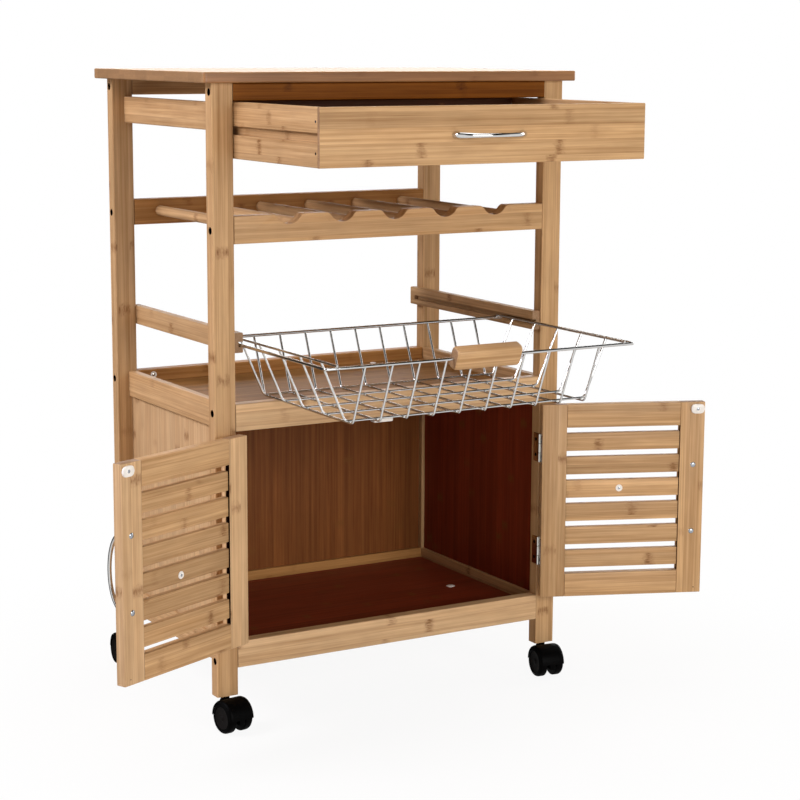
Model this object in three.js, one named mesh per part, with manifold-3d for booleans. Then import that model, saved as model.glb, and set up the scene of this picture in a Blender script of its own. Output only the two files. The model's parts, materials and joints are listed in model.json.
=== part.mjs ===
// Rolling utility cart: a bamboo kitchen trolley on four twin-wheel casters, with a drawer, a wine
// rack, a sliding wire basket, an open shelf and a cabinet with two slatted doors.
// Millimetres, +Z up, the front faces -Y. The model is built around the middle of the frame at
// floor level, and the finished group is moved so that its origin is the middle of its base.
// It is posed with the drawer and the basket pulled out and both doors swung open.
import * as THREE from 'three';
import { mergeVertices } from 'three/addons/utils/BufferGeometryUtils.js';
import Module from 'manifold-3d';

const wasm = await Module();
wasm.setup();

// ---------------------------------------------------------------- driving dimensions
const fitGap = 0.3; // between pieces that are fastened together
const edgeRound = 1.5; // softened long edges of the boards
const overcut = 1; // how far a cut runs past the piece that it goes through

const topLength = 560;
const topDepth = 358;
const topThickness = 13.5;
const topCornerRadius = 3;

const frameWidth = 530; // over the posts
const frameDepth = 336.4;
const postWidth = 30;
const postDepth = 18.2;
const postLength = 794;

const railHeight = 35.5;
const crossRailThickness = 18; // front and back
const sideRailThickness = 12.5;
const topRailHeight = 22;
const footLength = 36.3; // post below the base rails
const doorOpeningHeight = 279.2;
const wineBayHeight = 205.8; // shelf rail top to wine rail bottom
const runnerTongueHeight = 6.4; // on the inside of the drawer rails
const runnerTongueDepth = 5.3;

const boltHoleDiameter = 10;
const boltHoleDepth = 9;
const boltInset = 7.4; // from the post's front or back face
const shelfBoltRise = 7.4; // bolts miss the panel grooves
const baseBoltDrop = 6.4;

const panelThickness = 3;
const shelfThickness = 5;
const shelfDrop = 17; // rail top to shelf surface
const baseDrop = 14.5;
const grooveDepth = 5;

const bottleCount = 5;
const scallopWidth = 39;
const scallopDepth = 12.8;
const dowelDiameter = 14;
const dowelDrop = 16.8; // rail top to dowel centre
const dowelHoleDepth = 6;

const drawerHeight = 70.7;
const drawerDepth = 300;
const drawerSideGap = 0.7;
const drawerTopGap = 1.4;
const drawerBoard = 12;
const drawerFrontThickness = 15;
const drawerLip = 5; // front overlaps the ends of the sides
const drawerBottomRise = 8;
const drawerBackDrop = 0.2;
const drawerGrooveHeight = 11.2;
const drawerGrooveDepth = 5.8;
const drawerTravel = 228;

const handleSpan = 96; // between screw centres
const handleReach = 26;
const handleWidth = 10; // at the feet
const handleThickness = 5;
const handleFootThickness = 11.5;
const handleFlare = 14; // how far from its foot the bow is thicker
const handleWaist = 0.56; // middle width over foot width

const basketLength = 300;
const basketDepth = 70;
const basketFloorGap = 2.3; // above the shelf rails
const basketTravel = 244.5;
const rimWire = 4;
const meshWire = 3;
const weldSink = 0.5;
const guideSpacing = 15; // rim wire to the inner guide wire
const crossWireCount = 5;
const crossWirePitch = 55;
const lengthWireCount = 10;
const lengthWirePitch = 38.2;
const wallInsetSide = 33;
const wallInsetEnd = 31;
const basketRunnerHeight = 26;
const basketRunnerThickness = 12;
const basketRunnerSetback = 2.5;
const basketGrooveHeight = 6.5;
const basketGrooveDepth = 6.3;
const rimEntry = 3.3; // groove mouth to the centre of the rim wire
const basketGrooveLip = 7.7; // wood below the groove
const basketGrooveStop = 12; // blind end at the back

const gripLength = 96;
const gripHeight = 29;
const gripThickness = 18;
const gripRound = 3;
const gripEndBevel = 2;

const doorThickness = 14;
const doorEdgeGap = 1.8; // above and below
const doorHingeGap = 1;
const doorMeetingGap = 2;
const stileWidth = 35;
const doorRailHeight = 33;
const slatCount = 6;
const slatHeight = 25.2;
const slatThickness = 9;
const handleEdgeInset = 15.5;
const leftDoorOpen = 156; // degrees
const rightDoorOpen = 158;

const hingeHeight = 40.4;
const hingeOffset = 74; // either side of the door's middle
const leafThickness = 1.2;
const leafDepth = 13;
const barrelRadius = 2.4;
const barrelStandoff = 2.8; // axis in front of the door's face
const hingePinRadius = 1;
const knuckleGap = 0.3;
const mortiseGap = 0.3;

const casterHeight = 45.5; // floor to post
const wheelDiameter = 42;
const wheelWidth = 12;
const wheelSpacing = 25.6;
const wheelDish = 2;
const tyreRound = 1.5; // inner edge
const wheelShoulder = 4.5; // outer edge
const hoodRadius = 23.6;
const hoodWall = 1.8;
const hoodWidth = 37.5;
const hoodShoulder = 4.5;
const webThickness = 8;
const axleDiameter = 6;
const casterTrail = 18;
// Degrees that the casters stand turned.
const casterYaw = { front_left: 8, front_right: -8, back_left: 174, back_right: 5 };
const collarDiameter = 12;
const stemDiameter = 8;
const stemLength = 30;

// ---------------------------------------------------------------- derived places
const innerHalf = frameWidth / 2 - postWidth;
const frontY = -frameDepth / 2;
const postX = frameWidth / 2 - postWidth / 2;
const postY = frameDepth / 2 - postDepth / 2;
const railY = postY;
const sideRailX = innerHalf + fitGap + sideRailThickness / 2;
const railLength = 2 * (innerHalf - fitGap);
const sideRailLength = 2 * (frameDepth / 2 - postDepth - fitGap);

const postTopZ = casterHeight + postLength;
const baseRailZ = casterHeight + footLength + railHeight / 2;
const baseTopZ = baseRailZ + railHeight / 2;
const shelfRailZ = baseTopZ + doorOpeningHeight + railHeight / 2;
const shelfTopZ = shelfRailZ + railHeight / 2;
const wineRailZ = shelfTopZ + wineBayHeight + railHeight / 2;
const wineTopZ = wineRailZ + railHeight / 2;
const topRailZ = postTopZ - topRailHeight / 2;

const drawerZ = topRailZ - topRailHeight / 2 - drawerTopGap - drawerHeight / 2;
const tongueTopZ = drawerZ + drawerGrooveHeight / 2 - fitGap;
const drawerRailBottomZ = tongueTopZ - runnerTongueHeight;

const lengthWireZ = shelfTopZ + basketFloorGap + meshWire / 2;
const crossWireZ = lengthWireZ + meshWire - weldSink;
const rimZ = crossWireZ + basketDepth;
const basketGrooveZ = rimZ - rimWire / 2 - fitGap + basketGrooveHeight / 2;
const basketRunnerZ = basketGrooveZ - basketGrooveHeight / 2 - basketGrooveLip + basketRunnerHeight / 2;
const basketClosedY = -basketLength / 2;
// Between the centres of the rim wires.
const basketWidth = 2 * (innerHalf - fitGap - basketRunnerThickness + rimEntry);

const doorWidth = innerHalf - doorHingeGap - doorMeetingGap / 2;
const doorHeight = doorOpeningHeight - 2 * doorEdgeGap;
const doorZ = baseTopZ + doorOpeningHeight / 2;
const hingeX = innerHalf - doorHingeGap / 2;
const hingeY = frontY - barrelStandoff;

// ---------------------------------------------------------------- finishes
const finishes = {
  bamboo: { color: 0xc79a63, roughness: 0.5, metalness: 0 },
  bambooPanel: { color: 0xb98a54, roughness: 0.55, metalness: 0 },
  chrome: { color: 0xd8dadc, roughness: 0.1, metalness: 1 },
  hingeSteel: { color: 0x9a9a98, roughness: 0.32, metalness: 1 },
  blackPlastic: { color: 0x0d0d0e, roughness: 0.45, metalness: 0 },
};

// ---------------------------------------------------------------- geometry helpers
function toSolid(geometry) {
  const bare = geometry.clone();
  bare.deleteAttribute('normal');
  bare.deleteAttribute('uv');
  const merged = mergeVertices(bare, 1e-4);
  const mesh = new wasm.Mesh({
    numProp: 3,
    vertProperties: new Float32Array(merged.attributes.position.array),
    triVerts: new Uint32Array(merged.index.array),
  });
  mesh.merge();
  return new wasm.Manifold(mesh);
}

function toGeometry(solid) {
  const mesh = solid.getMesh();
  const geometry = new THREE.BufferGeometry();
  geometry.setAttribute('position', new THREE.BufferAttribute(mesh.vertProperties, 3));
  geometry.setIndex(new THREE.BufferAttribute(mesh.triVerts, 1));
  return geometry;
}

// The first geometry with the others joined to it.
function join(first, ...others) {
  return toGeometry(others.reduce((solid, piece) => solid.add(toSolid(piece)), toSolid(first)));
}

// The first geometry with the others cut out of it.
function cut(first, ...tools) {
  return toGeometry(tools.reduce((solid, tool) => solid.subtract(toSolid(tool)), toSolid(first)));
}

// A plain box around a centre.
function block(size, centre) {
  return new THREE.BoxGeometry(...size).translate(...centre);
}

// A round bar of the given axis around a centre.
function roundBar(radius, length, axis, centre, sides) {
  const bar = new THREE.CylinderGeometry(radius, radius, length, sides);
  if (axis === 'x') bar.rotateZ(Math.PI / 2);
  if (axis === 'z') bar.rotateX(Math.PI / 2);
  return bar.translate(...centre);
}

// A wire of flat sides through points in one upright plane, mitred at its bends. The flats lie
// square to the plane's normal, and the section has the same area as the round wire.
function bentWire(points, radius, normal) {
  const sideCount = 6;
  const across = new THREE.Vector3(...normal);
  const path = points.map((point) => new THREE.Vector3(...point));
  const turn = (2 * Math.PI) / sideCount;
  const outer = radius * Math.sqrt(turn / Math.sin(turn));
  const vertices = [];
  path.forEach((point, i) => {
    const before = point.clone().sub(path[Math.max(0, i - 1)]).normalize();
    const after = path[Math.min(path.length - 1, i + 1)].clone().sub(point).normalize();
    const along = before.clone().add(after).normalize();
    const stretch = 1 / Math.max(along.dot(before), along.dot(after));
    const up = new THREE.Vector3().crossVectors(along, across);
    for (let j = 0; j < sideCount; j += 1) {
      const ring = point.clone();
      ring.addScaledVector(across, outer * Math.cos(j * turn));
      ring.addScaledVector(up, outer * stretch * Math.sin(j * turn));
      vertices.push(...ring.toArray());
    }
  });
  const triangles = [];
  const last = (path.length - 1) * sideCount;
  for (let j = 0; j < sideCount; j += 1) {
    const next = (j + 1) % sideCount;
    for (let start = 0; start < last; start += sideCount) {
      const above = start + sideCount;
      triangles.push(start + j, start + next, above + next, start + j, above + next, above + j);
    }
    if (j > 0 && next > 0) triangles.push(0, next, j, last, last + j, last + next);
  }
  const bar = new THREE.BufferGeometry();
  bar.setAttribute('position', new THREE.Float32BufferAttribute(vertices, 3));
  bar.setIndex(triangles);
  return bar;
}

// A rectangle centred on the origin with rounded corners.
function roundedRectangle(width, height, radius) {
  const x = width / 2;
  const y = height / 2;
  const r = radius;
  const outline = new THREE.Shape();
  outline.absarc(x - r, y - r, r, 0, Math.PI / 2);
  outline.absarc(-x + r, y - r, r, Math.PI / 2, Math.PI);
  outline.absarc(-x + r, -y + r, r, Math.PI, Math.PI * 1.5);
  outline.absarc(x - r, -y + r, r, Math.PI * 1.5, Math.PI * 2);
  return outline;
}

// A board with softened long edges that runs along one axis. Its sizes are along X, Y and Z.
function board([sizeX, sizeY, sizeZ], axis) {
  const section = { x: [sizeY, sizeZ], y: [sizeX, sizeZ], z: [sizeX, sizeY] }[axis];
  const length = { x: sizeX, y: sizeY, z: sizeZ }[axis];
  const round = Math.min(edgeRound, section[0] / 4, section[1] / 4);
  const outline = roundedRectangle(section[0], section[1], round);
  const bar = new THREE.ExtrudeGeometry(outline, { depth: length, bevelEnabled: false, curveSegments: 2 });
  bar.translate(0, 0, -length / 2);
  if (axis === 'x') bar.rotateX(Math.PI / 2).rotateZ(Math.PI / 2);
  if (axis === 'y') bar.rotateX(Math.PI / 2);
  return bar;
}

// ---------------------------------------------------------------- scene helpers
const cart = new THREE.Group();

function place(parent, name, geometry, finish, position = [0, 0, 0]) {
  const mesh = new THREE.Mesh(geometry, new THREE.MeshStandardMaterial(finish));
  mesh.name = name;
  mesh.position.set(...position);
  parent.add(mesh);
  return mesh;
}

const sides = [['left', -1], ['right', 1]];
const ends = [['front', -1], ['back', 1]];

// ---------------------------------------------------------------- top board
function buildTop() {
  const bevel = edgeRound;
  const outline = roundedRectangle(topLength - 2 * bevel, topDepth - 2 * bevel, topCornerRadius);
  const slab = new THREE.ExtrudeGeometry(outline, {
    depth: topThickness - 2 * bevel,
    bevelThickness: bevel,
    bevelSize: bevel,
    bevelSegments: 2,
    curveSegments: 3,
  });
  place(cart, 'top_board', slab, finishes.bamboo, [0, 0, postTopZ + fitGap + bevel]);
}

// ---------------------------------------------------------------- posts
function buildPosts() {
  const boltHeights = [
    topRailZ,
    wineRailZ,
    shelfRailZ + shelfBoltRise,
    baseRailZ - baseBoltDrop,
  ];
  const middleZ = casterHeight + postLength / 2;
  for (const [end, endSign] of ends) {
    for (const [side, sideSign] of sides) {
      const tools = boltHeights.map((z) => roundBar(
        boltHoleDiameter / 2,
        2 * boltHoleDepth,
        'x',
        [sideSign * postWidth / 2, endSign * (postDepth / 2 - boltInset), z - middleZ],
        12,
      ));
      const boreDepth = stemLength + fitGap;
      tools.push(roundBar(
        stemDiameter / 2 + fitGap,
        2 * boreDepth,
        'z',
        [0, 0, -postLength / 2],
        12,
      ));
      if (end === 'front') {
        for (const rise of [-hingeOffset, hingeOffset]) {
          const recess = leafThickness + mortiseGap;
          tools.push(block(
            [2 * recess, 2 * (leafDepth + mortiseGap), hingeHeight + 2 * mortiseGap],
            [-sideSign * postWidth / 2, -postDepth / 2, doorZ + rise - middleZ],
          ));
        }
      }
      const post = cut(board([postWidth, postDepth, postLength], 'z'), ...tools);
      const position = [sideSign * postX, endSign * postY, middleZ];
      place(cart, `post_${end}_${side}`, post, finishes.bamboo, position);
    }
  }
}

// ---------------------------------------------------------------- rails and panels
// A groove tool for a panel edge that enters a rail lying along an axis.
function panelSlot(length, axis, thickness, centre, facing) {
  const width = thickness + 2 * fitGap;
  const depth = 2 * grooveDepth;
  const size = facing === 'z' ? [width, width, depth] : [depth, depth, width];
  size[axis === 'x' ? 0 : 1] = length + 2 * overcut;
  return block(size, centre);
}

function buildRails() {
  for (const [end, sign] of ends) {
    const y = sign * railY;
    const topRail = board([railLength, crossRailThickness, topRailHeight], 'x');
    place(cart, `top_rail_${end}`, topRail, finishes.bamboo, [0, y, topRailZ]);

    const innerFace = -sign * crossRailThickness / 2;
    const shelfSlotZ = railHeight / 2 - shelfDrop - shelfThickness / 2;
    const shelfTools = [panelSlot(railLength, 'x', shelfThickness, [0, innerFace, shelfSlotZ], 'y')];
    const baseSlotZ = railHeight / 2 - baseDrop - panelThickness / 2;
    const baseTools = [panelSlot(railLength, 'x', panelThickness, [0, innerFace, baseSlotZ], 'y')];
    if (end === 'back') {
      shelfTools.push(panelSlot(railLength, 'x', panelThickness, [0, 0, -railHeight / 2], 'z'));
      baseTools.push(panelSlot(railLength, 'x', panelThickness, [0, 0, railHeight / 2], 'z'));
    }
    const rail = board([railLength, crossRailThickness, railHeight], 'x');
    place(cart, `shelf_rail_${end}`, cut(rail, ...shelfTools), finishes.bamboo, [0, y, shelfRailZ]);
    place(cart, `base_rail_${end}`, cut(rail, ...baseTools), finishes.bamboo, [0, y, baseRailZ]);
  }
  for (const [side, sign] of sides) {
    const x = sign * sideRailX;
    const rail = board([sideRailThickness, sideRailLength, railHeight], 'y');
    const shelfSlot = panelSlot(sideRailLength, 'y', panelThickness, [0, 0, -railHeight / 2], 'z');
    const baseSlot = panelSlot(sideRailLength, 'y', panelThickness, [0, 0, railHeight / 2], 'z');
    place(cart, `shelf_rail_${side}`, cut(rail, shelfSlot), finishes.bamboo, [x, 0, shelfRailZ]);
    place(cart, `base_rail_${side}`, cut(rail, baseSlot), finishes.bamboo, [x, 0, baseRailZ]);

    const tongueWidth = runnerTongueDepth + edgeRound;
    const tongue = block(
      [tongueWidth, sideRailLength, runnerTongueHeight],
      [
        -sign * (sideRailThickness / 2 - edgeRound + tongueWidth / 2),
        0,
        (runnerTongueHeight - railHeight) / 2,
      ],
    );
    place(cart, `drawer_rail_${side}`, join(rail, tongue), finishes.bamboo,
      [x, 0, drawerRailBottomZ + railHeight / 2]);
  }
}

function buildPanels() {
  const tuck = grooveDepth - fitGap; // how far a panel enters its grooves
  const floorDepth = 2 * (railY - crossRailThickness / 2 + tuck);
  const floorWidth = 2 * (innerHalf - fitGap);
  place(cart, 'shelf_panel', block([floorWidth, floorDepth, shelfThickness], [0, 0, 0]),
    finishes.bambooPanel, [0, 0, shelfTopZ - shelfDrop - shelfThickness / 2]);
  place(cart, 'base_panel', block([floorWidth, floorDepth, panelThickness], [0, 0, 0]),
    finishes.bambooPanel, [0, 0, baseTopZ - baseDrop - panelThickness / 2]);

  const wallHeight = doorOpeningHeight + 2 * tuck;
  const wallZ = baseTopZ + doorOpeningHeight / 2;
  place(cart, 'back_panel', block([floorWidth, panelThickness, wallHeight], [0, 0, 0]),
    finishes.bambooPanel, [0, railY, wallZ]);
  for (const [side, sign] of sides) {
    place(cart, `side_panel_${side}`, block([panelThickness, sideRailLength, wallHeight], [0, 0, 0]),
      finishes.bambooPanel, [sign * sideRailX, 0, wallZ]);
  }
}

// ---------------------------------------------------------------- wine rack
function scallopedRail() {
  const x = railLength / 2;
  const z = railHeight / 2;
  const pitch = 2 * innerHalf / (bottleCount + 1);
  const half = scallopWidth / 2;
  const radius = (half * half + scallopDepth * scallopDepth) / (2 * scallopDepth);
  const centreZ = z - scallopDepth + radius;
  const reach = Math.asin(half / radius);
  const outline = new THREE.Shape();
  outline.moveTo(-x, -z);
  outline.lineTo(x, -z);
  outline.lineTo(x, z);
  for (let i = bottleCount; i >= 1; i -= 1) {
    const middle = i * pitch - innerHalf;
    outline.lineTo(middle + half, z);
    outline.absarc(middle, centreZ, radius, -Math.PI / 2 + reach, -Math.PI / 2 - reach, true);
  }
  outline.lineTo(-x, z);
  outline.closePath();
  const rail = new THREE.ExtrudeGeometry(outline, {
    depth: crossRailThickness,
    bevelEnabled: false,
    curveSegments: 7,
  });
  return rail.translate(0, 0, -crossRailThickness / 2).rotateX(Math.PI / 2);
}

function buildWineRack() {
  const pitch = 2 * innerHalf / (bottleCount + 1);
  const dowelZ = wineTopZ - dowelDrop;
  const dowelX = [];
  for (let i = 0; i <= bottleCount; i += 1) dowelX.push((i + 0.5) * pitch - innerHalf);
  for (const [end, sign] of ends) {
    const holes = dowelX.map((x) => roundBar(
      dowelDiameter / 2 + fitGap,
      2 * dowelHoleDepth,
      'y',
      [x, -sign * crossRailThickness / 2, dowelZ - wineRailZ],
      12,
    ));
    const plain = board([railLength, crossRailThickness, railHeight], 'x');
    const rail = end === 'front' ? scallopedRail() : plain;
    place(cart, `wine_rail_${end}`, cut(rail, ...holes), finishes.bamboo, [0, sign * railY, wineRailZ]);
  }
  const dowelLength = 2 * (railY - crossRailThickness / 2 + dowelHoleDepth - fitGap);
  dowelX.forEach((x, i) => {
    const dowel = roundBar(dowelDiameter / 2, dowelLength, 'y', [0, 0, 0], 12);
    place(cart, `wine_dowel_${i + 1}`, dowel, finishes.bamboo, [x, 0, dowelZ]);
  });
}

// ---------------------------------------------------------------- bow handle
// The feet stand at x = -span/2 and +span/2 on y = 0, and the bow reaches towards -Y.
function bowHandle() {
  const foot = handleSpan / 2;
  const reach = handleReach - handleThickness / 2;
  const pull = reach / 0.75; // control height that brings the middle of the bow to its reach
  const path = new THREE.CubicBezierCurve3(
    new THREE.Vector3(-foot, 0, 0),
    new THREE.Vector3(-foot, -pull, 0),
    new THREE.Vector3(foot, -pull, 0),
    new THREE.Vector3(foot, 0, 0),
  );
  const section = new THREE.Shape();
  section.absellipse(0, 0, handleWidth / 2, handleThickness / 2, 0, Math.PI * 2);
  const bow = new THREE.ExtrudeGeometry(section, { steps: 12, curveSegments: 5, extrudePath: path });
  const position = bow.attributes.position;
  for (let i = 0; i < position.count; i += 1) {
    const x = position.getX(i);
    const share = Math.min(1, Math.abs(x) / foot);
    const fade = Math.max(0, 1 + position.getY(i) / handleFlare);
    const swell = 1 + (handleFootThickness / handleThickness - 1) * fade * fade;
    position.setX(i, Math.sign(x) * (foot + (Math.abs(x) - foot) * swell));
    position.setZ(i, position.getZ(i) * (handleWaist + (1 - handleWaist) * share * share));
  }
  return bow;
}

// ---------------------------------------------------------------- drawer
function buildDrawer() {
  const drawer = new THREE.Group();
  const width = 2 * (innerHalf - drawerSideGap);
  const sideX = width / 2 - drawerBoard / 2;
  const innerWidth = width - 2 * drawerBoard;
  const slotWidth = panelThickness + 2 * fitGap;
  const slotZ = -drawerHeight / 2 + drawerBottomRise + panelThickness / 2;
  const tuck = grooveDepth - fitGap;

  const front = board([width, drawerFrontThickness, drawerHeight], 'x');
  const rabbets = sides.map(([, sign]) => block(
    [2 * (drawerBoard + fitGap), 2 * (drawerFrontThickness - drawerLip), drawerHeight + 2 * overcut],
    [sign * width / 2, drawerFrontThickness / 2, 0],
  ));
  const frontSlot = block([width, 2 * grooveDepth, slotWidth], [0, drawerFrontThickness / 2, slotZ]);
  place(drawer, 'drawer_front', cut(front, ...rabbets, frontSlot), finishes.bamboo,
    [0, drawerFrontThickness / 2, 0]);

  const sideStart = drawerLip + fitGap;
  const sideLength = drawerDepth - sideStart;
  for (const [side, sign] of sides) {
    const plank = board([drawerBoard, sideLength, drawerHeight], 'y');
    const runnerSlot = block(
      [2 * drawerGrooveDepth, sideLength + 2 * overcut, drawerGrooveHeight],
      [sign * drawerBoard / 2, 0, 0],
    );
    const bottomSlot = block(
      [2 * grooveDepth, sideLength + 2 * overcut, slotWidth],
      [-sign * drawerBoard / 2, 0, slotZ],
    );
    place(drawer, `drawer_side_${side}`, cut(plank, runnerSlot, bottomSlot), finishes.bamboo,
      [sign * sideX, sideStart + sideLength / 2, 0]);
  }

  const backBottom = slotZ + panelThickness / 2 + fitGap;
  const backTop = drawerHeight / 2 - drawerBackDrop;
  place(drawer, 'drawer_back', board([innerWidth - 2 * fitGap, drawerBoard, backTop - backBottom], 'x'),
    finishes.bamboo, [0, drawerDepth - drawerBoard / 2, (backTop + backBottom) / 2]);

  const bottomStart = drawerFrontThickness - tuck;
  const bottomWidth = innerWidth + 2 * tuck;
  place(drawer, 'drawer_bottom', block([bottomWidth, drawerDepth - bottomStart, panelThickness], [0, 0, 0]),
    finishes.bambooPanel, [0, (drawerDepth + bottomStart) / 2, slotZ]);

  place(drawer, 'drawer_handle', bowHandle(), finishes.chrome, [0, -fitGap, 0]);
  drawer.position.set(0, frontY - drawerTravel, drawerZ);
  cart.add(drawer);
}

// ---------------------------------------------------------------- basket
// Basket pieces are built with y = 0 at the front rim and z = 0 at the rim.
function wireBasket() {
  const rim = rimWire / 2;
  const mesh = meshWire / 2;
  const halfWidth = basketWidth / 2;
  const guideX = halfWidth - guideSpacing;
  const guideZ = rim + mesh - weldSink; // the guides lie on the end wires
  const pieces = [];
  for (const [, sign] of sides) {
    const x = sign * halfWidth;
    const guide = sign * guideX;
    pieces.push(bentWire([[x, -rim, 0], [x, basketLength + rim, 0]], rim, [1, 0, 0]));
    pieces.push(bentWire([[guide, -mesh, guideZ], [guide, basketLength + mesh, guideZ]], mesh, [1, 0, 0]));
  }
  for (const y of [0, basketLength]) {
    pieces.push(bentWire([[-halfWidth, y, 0], [halfWidth, y, 0]], rim, [0, 1, 0]));
  }
  const crossZ = crossWireZ - rimZ;
  const lengthZ = lengthWireZ - rimZ;
  for (let i = 0; i < crossWireCount; i += 1) {
    const y = basketLength / 2 + (i - (crossWireCount - 1) / 2) * crossWirePitch;
    const foot = guideX - wallInsetSide;
    const path = [[-guideX, y, guideZ], [-foot, y, crossZ], [foot, y, crossZ], [guideX, y, guideZ]];
    pieces.push(bentWire(path, mesh, [0, 1, 0]));
  }
  for (let i = 0; i < lengthWireCount; i += 1) {
    const x = (i - (lengthWireCount - 1) / 2) * lengthWirePitch;
    const near = wallInsetEnd;
    const far = basketLength - wallInsetEnd;
    const path = [[x, 0, 0], [x, near, lengthZ], [x, far, lengthZ], [x, basketLength, 0]];
    pieces.push(bentWire(path, mesh, [1, 0, 0]));
  }
  return join(...pieces);
}

// The grip is built upright around the rim wire, and leans with the basket's front wall.
function basketGrip() {
  const back = gripThickness / 2;
  const half = gripHeight / 2;
  const section = new THREE.Shape();
  section.moveTo(back, -half + gripRound);
  section.lineTo(back, half - gripRound);
  section.quadraticCurveTo(back, half, back - gripRound, half);
  section.quadraticCurveTo(-back, half * 0.8, -back, 0);
  section.quadraticCurveTo(-back, -half * 0.8, back - gripRound, -half);
  section.quadraticCurveTo(back, -half, back, -half + gripRound);
  const bar = new THREE.ExtrudeGeometry(section, {
    depth: gripLength - 2 * gripEndBevel,
    bevelThickness: gripEndBevel,
    bevelSize: gripEndBevel,
    bevelOffset: -gripEndBevel,
    bevelSegments: 2,
    curveSegments: 5,
  });
  bar.translate(0, 0, gripEndBevel - gripLength / 2).rotateX(Math.PI / 2).rotateZ(Math.PI / 2);
  const tools = [roundBar(rimWire / 2 + 2 * fitGap, gripLength + 2 * overcut, 'x', [0, 0, 0], 8)];
  for (let i = 0; i < lengthWireCount; i += 1) {
    const x = (i - (lengthWireCount - 1) / 2) * lengthWirePitch;
    if (Math.abs(x) < gripLength / 2 - meshWire) {
      tools.push(roundBar(meshWire / 2 + 2 * fitGap, gripHeight, 'z', [x, 0, -half], 8));
    }
  }
  return cut(bar, ...tools);
}

function buildBasket() {
  const basket = new THREE.Group();
  place(basket, 'wire_basket', wireBasket(), finishes.chrome);
  const grip = place(basket, 'basket_grip', basketGrip(), finishes.bamboo);
  grip.rotation.x = Math.atan2(wallInsetEnd, rimZ - lengthWireZ);
  basket.position.set(0, basketClosedY - basketTravel, rimZ);
  cart.add(basket);

  const length = frameDepth - 2 * basketRunnerSetback;
  for (const [side, sign] of sides) {
    const strip = board([basketRunnerThickness, length, basketRunnerHeight], 'y');
    const groove = block(
      [2 * basketGrooveDepth, length, basketGrooveHeight],
      [-sign * basketRunnerThickness / 2, -basketGrooveStop, basketGrooveZ - basketRunnerZ],
    );
    place(cart, `basket_runner_${side}`, cut(strip, groove), finishes.bamboo,
      [sign * (innerHalf - fitGap - basketRunnerThickness / 2), 0, basketRunnerZ]);
  }
}

// ---------------------------------------------------------------- doors and hinges
// Hinge parts are built around the hinge axis as seen on the right: the post is at +X, the door at
// -X, and both boards lie behind the axis. The sign mirrors them for the left.
function hingeLeaf(sign, towardsPost) {
  const knuckle = (hingeHeight - 2 * knuckleGap) / 3;
  const knuckleZ = towardsPost ? [-(knuckle + knuckleGap), knuckle + knuckleGap] : [0];
  const plateX = (towardsPost ? 1 : -1) * sign * (doorHingeGap / 2 + leafThickness / 2);
  const plateStart = barrelStandoff + fitGap;
  const plateEnd = barrelStandoff + leafDepth;
  const pieces = [block(
    [leafThickness, plateEnd - plateStart, hingeHeight],
    [plateX, (plateStart + plateEnd) / 2, 0],
  )];
  for (const z of knuckleZ) {
    pieces.push(roundBar(barrelRadius, knuckle, 'z', [0, 0, z], 10));
    pieces.push(block([leafThickness, plateStart + 1, knuckle], [plateX, (plateStart + 1) / 2, z]));
  }
  if (towardsPost) {
    pieces.push(roundBar(hingePinRadius, hingeHeight, 'z', [0, 0, 0], 8));
    return join(...pieces);
  }
  const bore = roundBar(hingePinRadius + 2 * fitGap, hingeHeight, 'z', [0, 0, 0], 8);
  return cut(join(...pieces), bore);
}

// The door is built around its middle, with its outer face towards -Y.
function slattedDoor(sign) {
  const openingHeight = doorHeight - 2 * doorRailHeight;
  const slatGap = (openingHeight - slatCount * slatHeight) / (slatCount + 1);
  const pieces = [];
  for (const [, side] of sides) {
    pieces.push(block([stileWidth, doorThickness, doorHeight], [side * (doorWidth - stileWidth) / 2, 0, 0]));
    pieces.push(block(
      [doorWidth - stileWidth, doorThickness, doorRailHeight],
      [0, 0, side * (doorHeight - doorRailHeight) / 2],
    ));
  }
  for (let i = 0; i < slatCount; i += 1) {
    const z = -openingHeight / 2 + slatGap + slatHeight / 2 + i * (slatHeight + slatGap);
    pieces.push(block([doorWidth - stileWidth, slatThickness, slatHeight], [0, 0, z]));
  }
  const recess = leafThickness + mortiseGap;
  const tools = [-hingeOffset, hingeOffset].map((rise) => block(
    [2 * recess, 2 * (leafDepth + mortiseGap), hingeHeight + 2 * mortiseGap],
    [sign * doorWidth / 2, -doorThickness / 2, rise],
  ));
  return cut(join(...pieces), ...tools);
}

function buildDoors() {
  const openAngle = { left: leftDoorOpen, right: rightDoorOpen };
  for (const [side, sign] of sides) {
    const pivot = new THREE.Group();
    pivot.position.set(sign * hingeX, hingeY, doorZ);
    pivot.rotation.z = sign * THREE.MathUtils.degToRad(openAngle[side]);
    const doorX = -sign * (doorHingeGap / 2 + doorWidth / 2);
    place(pivot, `door_${side}`, slattedDoor(sign), finishes.bamboo,
      [doorX, barrelStandoff + doorThickness / 2, 0]);
    const handle = bowHandle().rotateY(Math.PI / 2);
    const handleX = -sign * (doorHingeGap / 2 + doorWidth - handleEdgeInset);
    place(pivot, `door_${side}_handle`, handle, finishes.chrome, [handleX, barrelStandoff - fitGap, 0]);
    for (const [level, rise] of [['lower', -hingeOffset], ['upper', hingeOffset]]) {
      place(pivot, `hinge_${side}_${level}_door_leaf`, hingeLeaf(sign, false), finishes.hingeSteel,
        [0, 0, rise]);
      place(cart, `hinge_${side}_${level}_post_leaf`, hingeLeaf(sign, true), finishes.hingeSteel,
        [sign * hingeX, hingeY, doorZ + rise]);
    }
    cart.add(pivot);
  }
}

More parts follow.
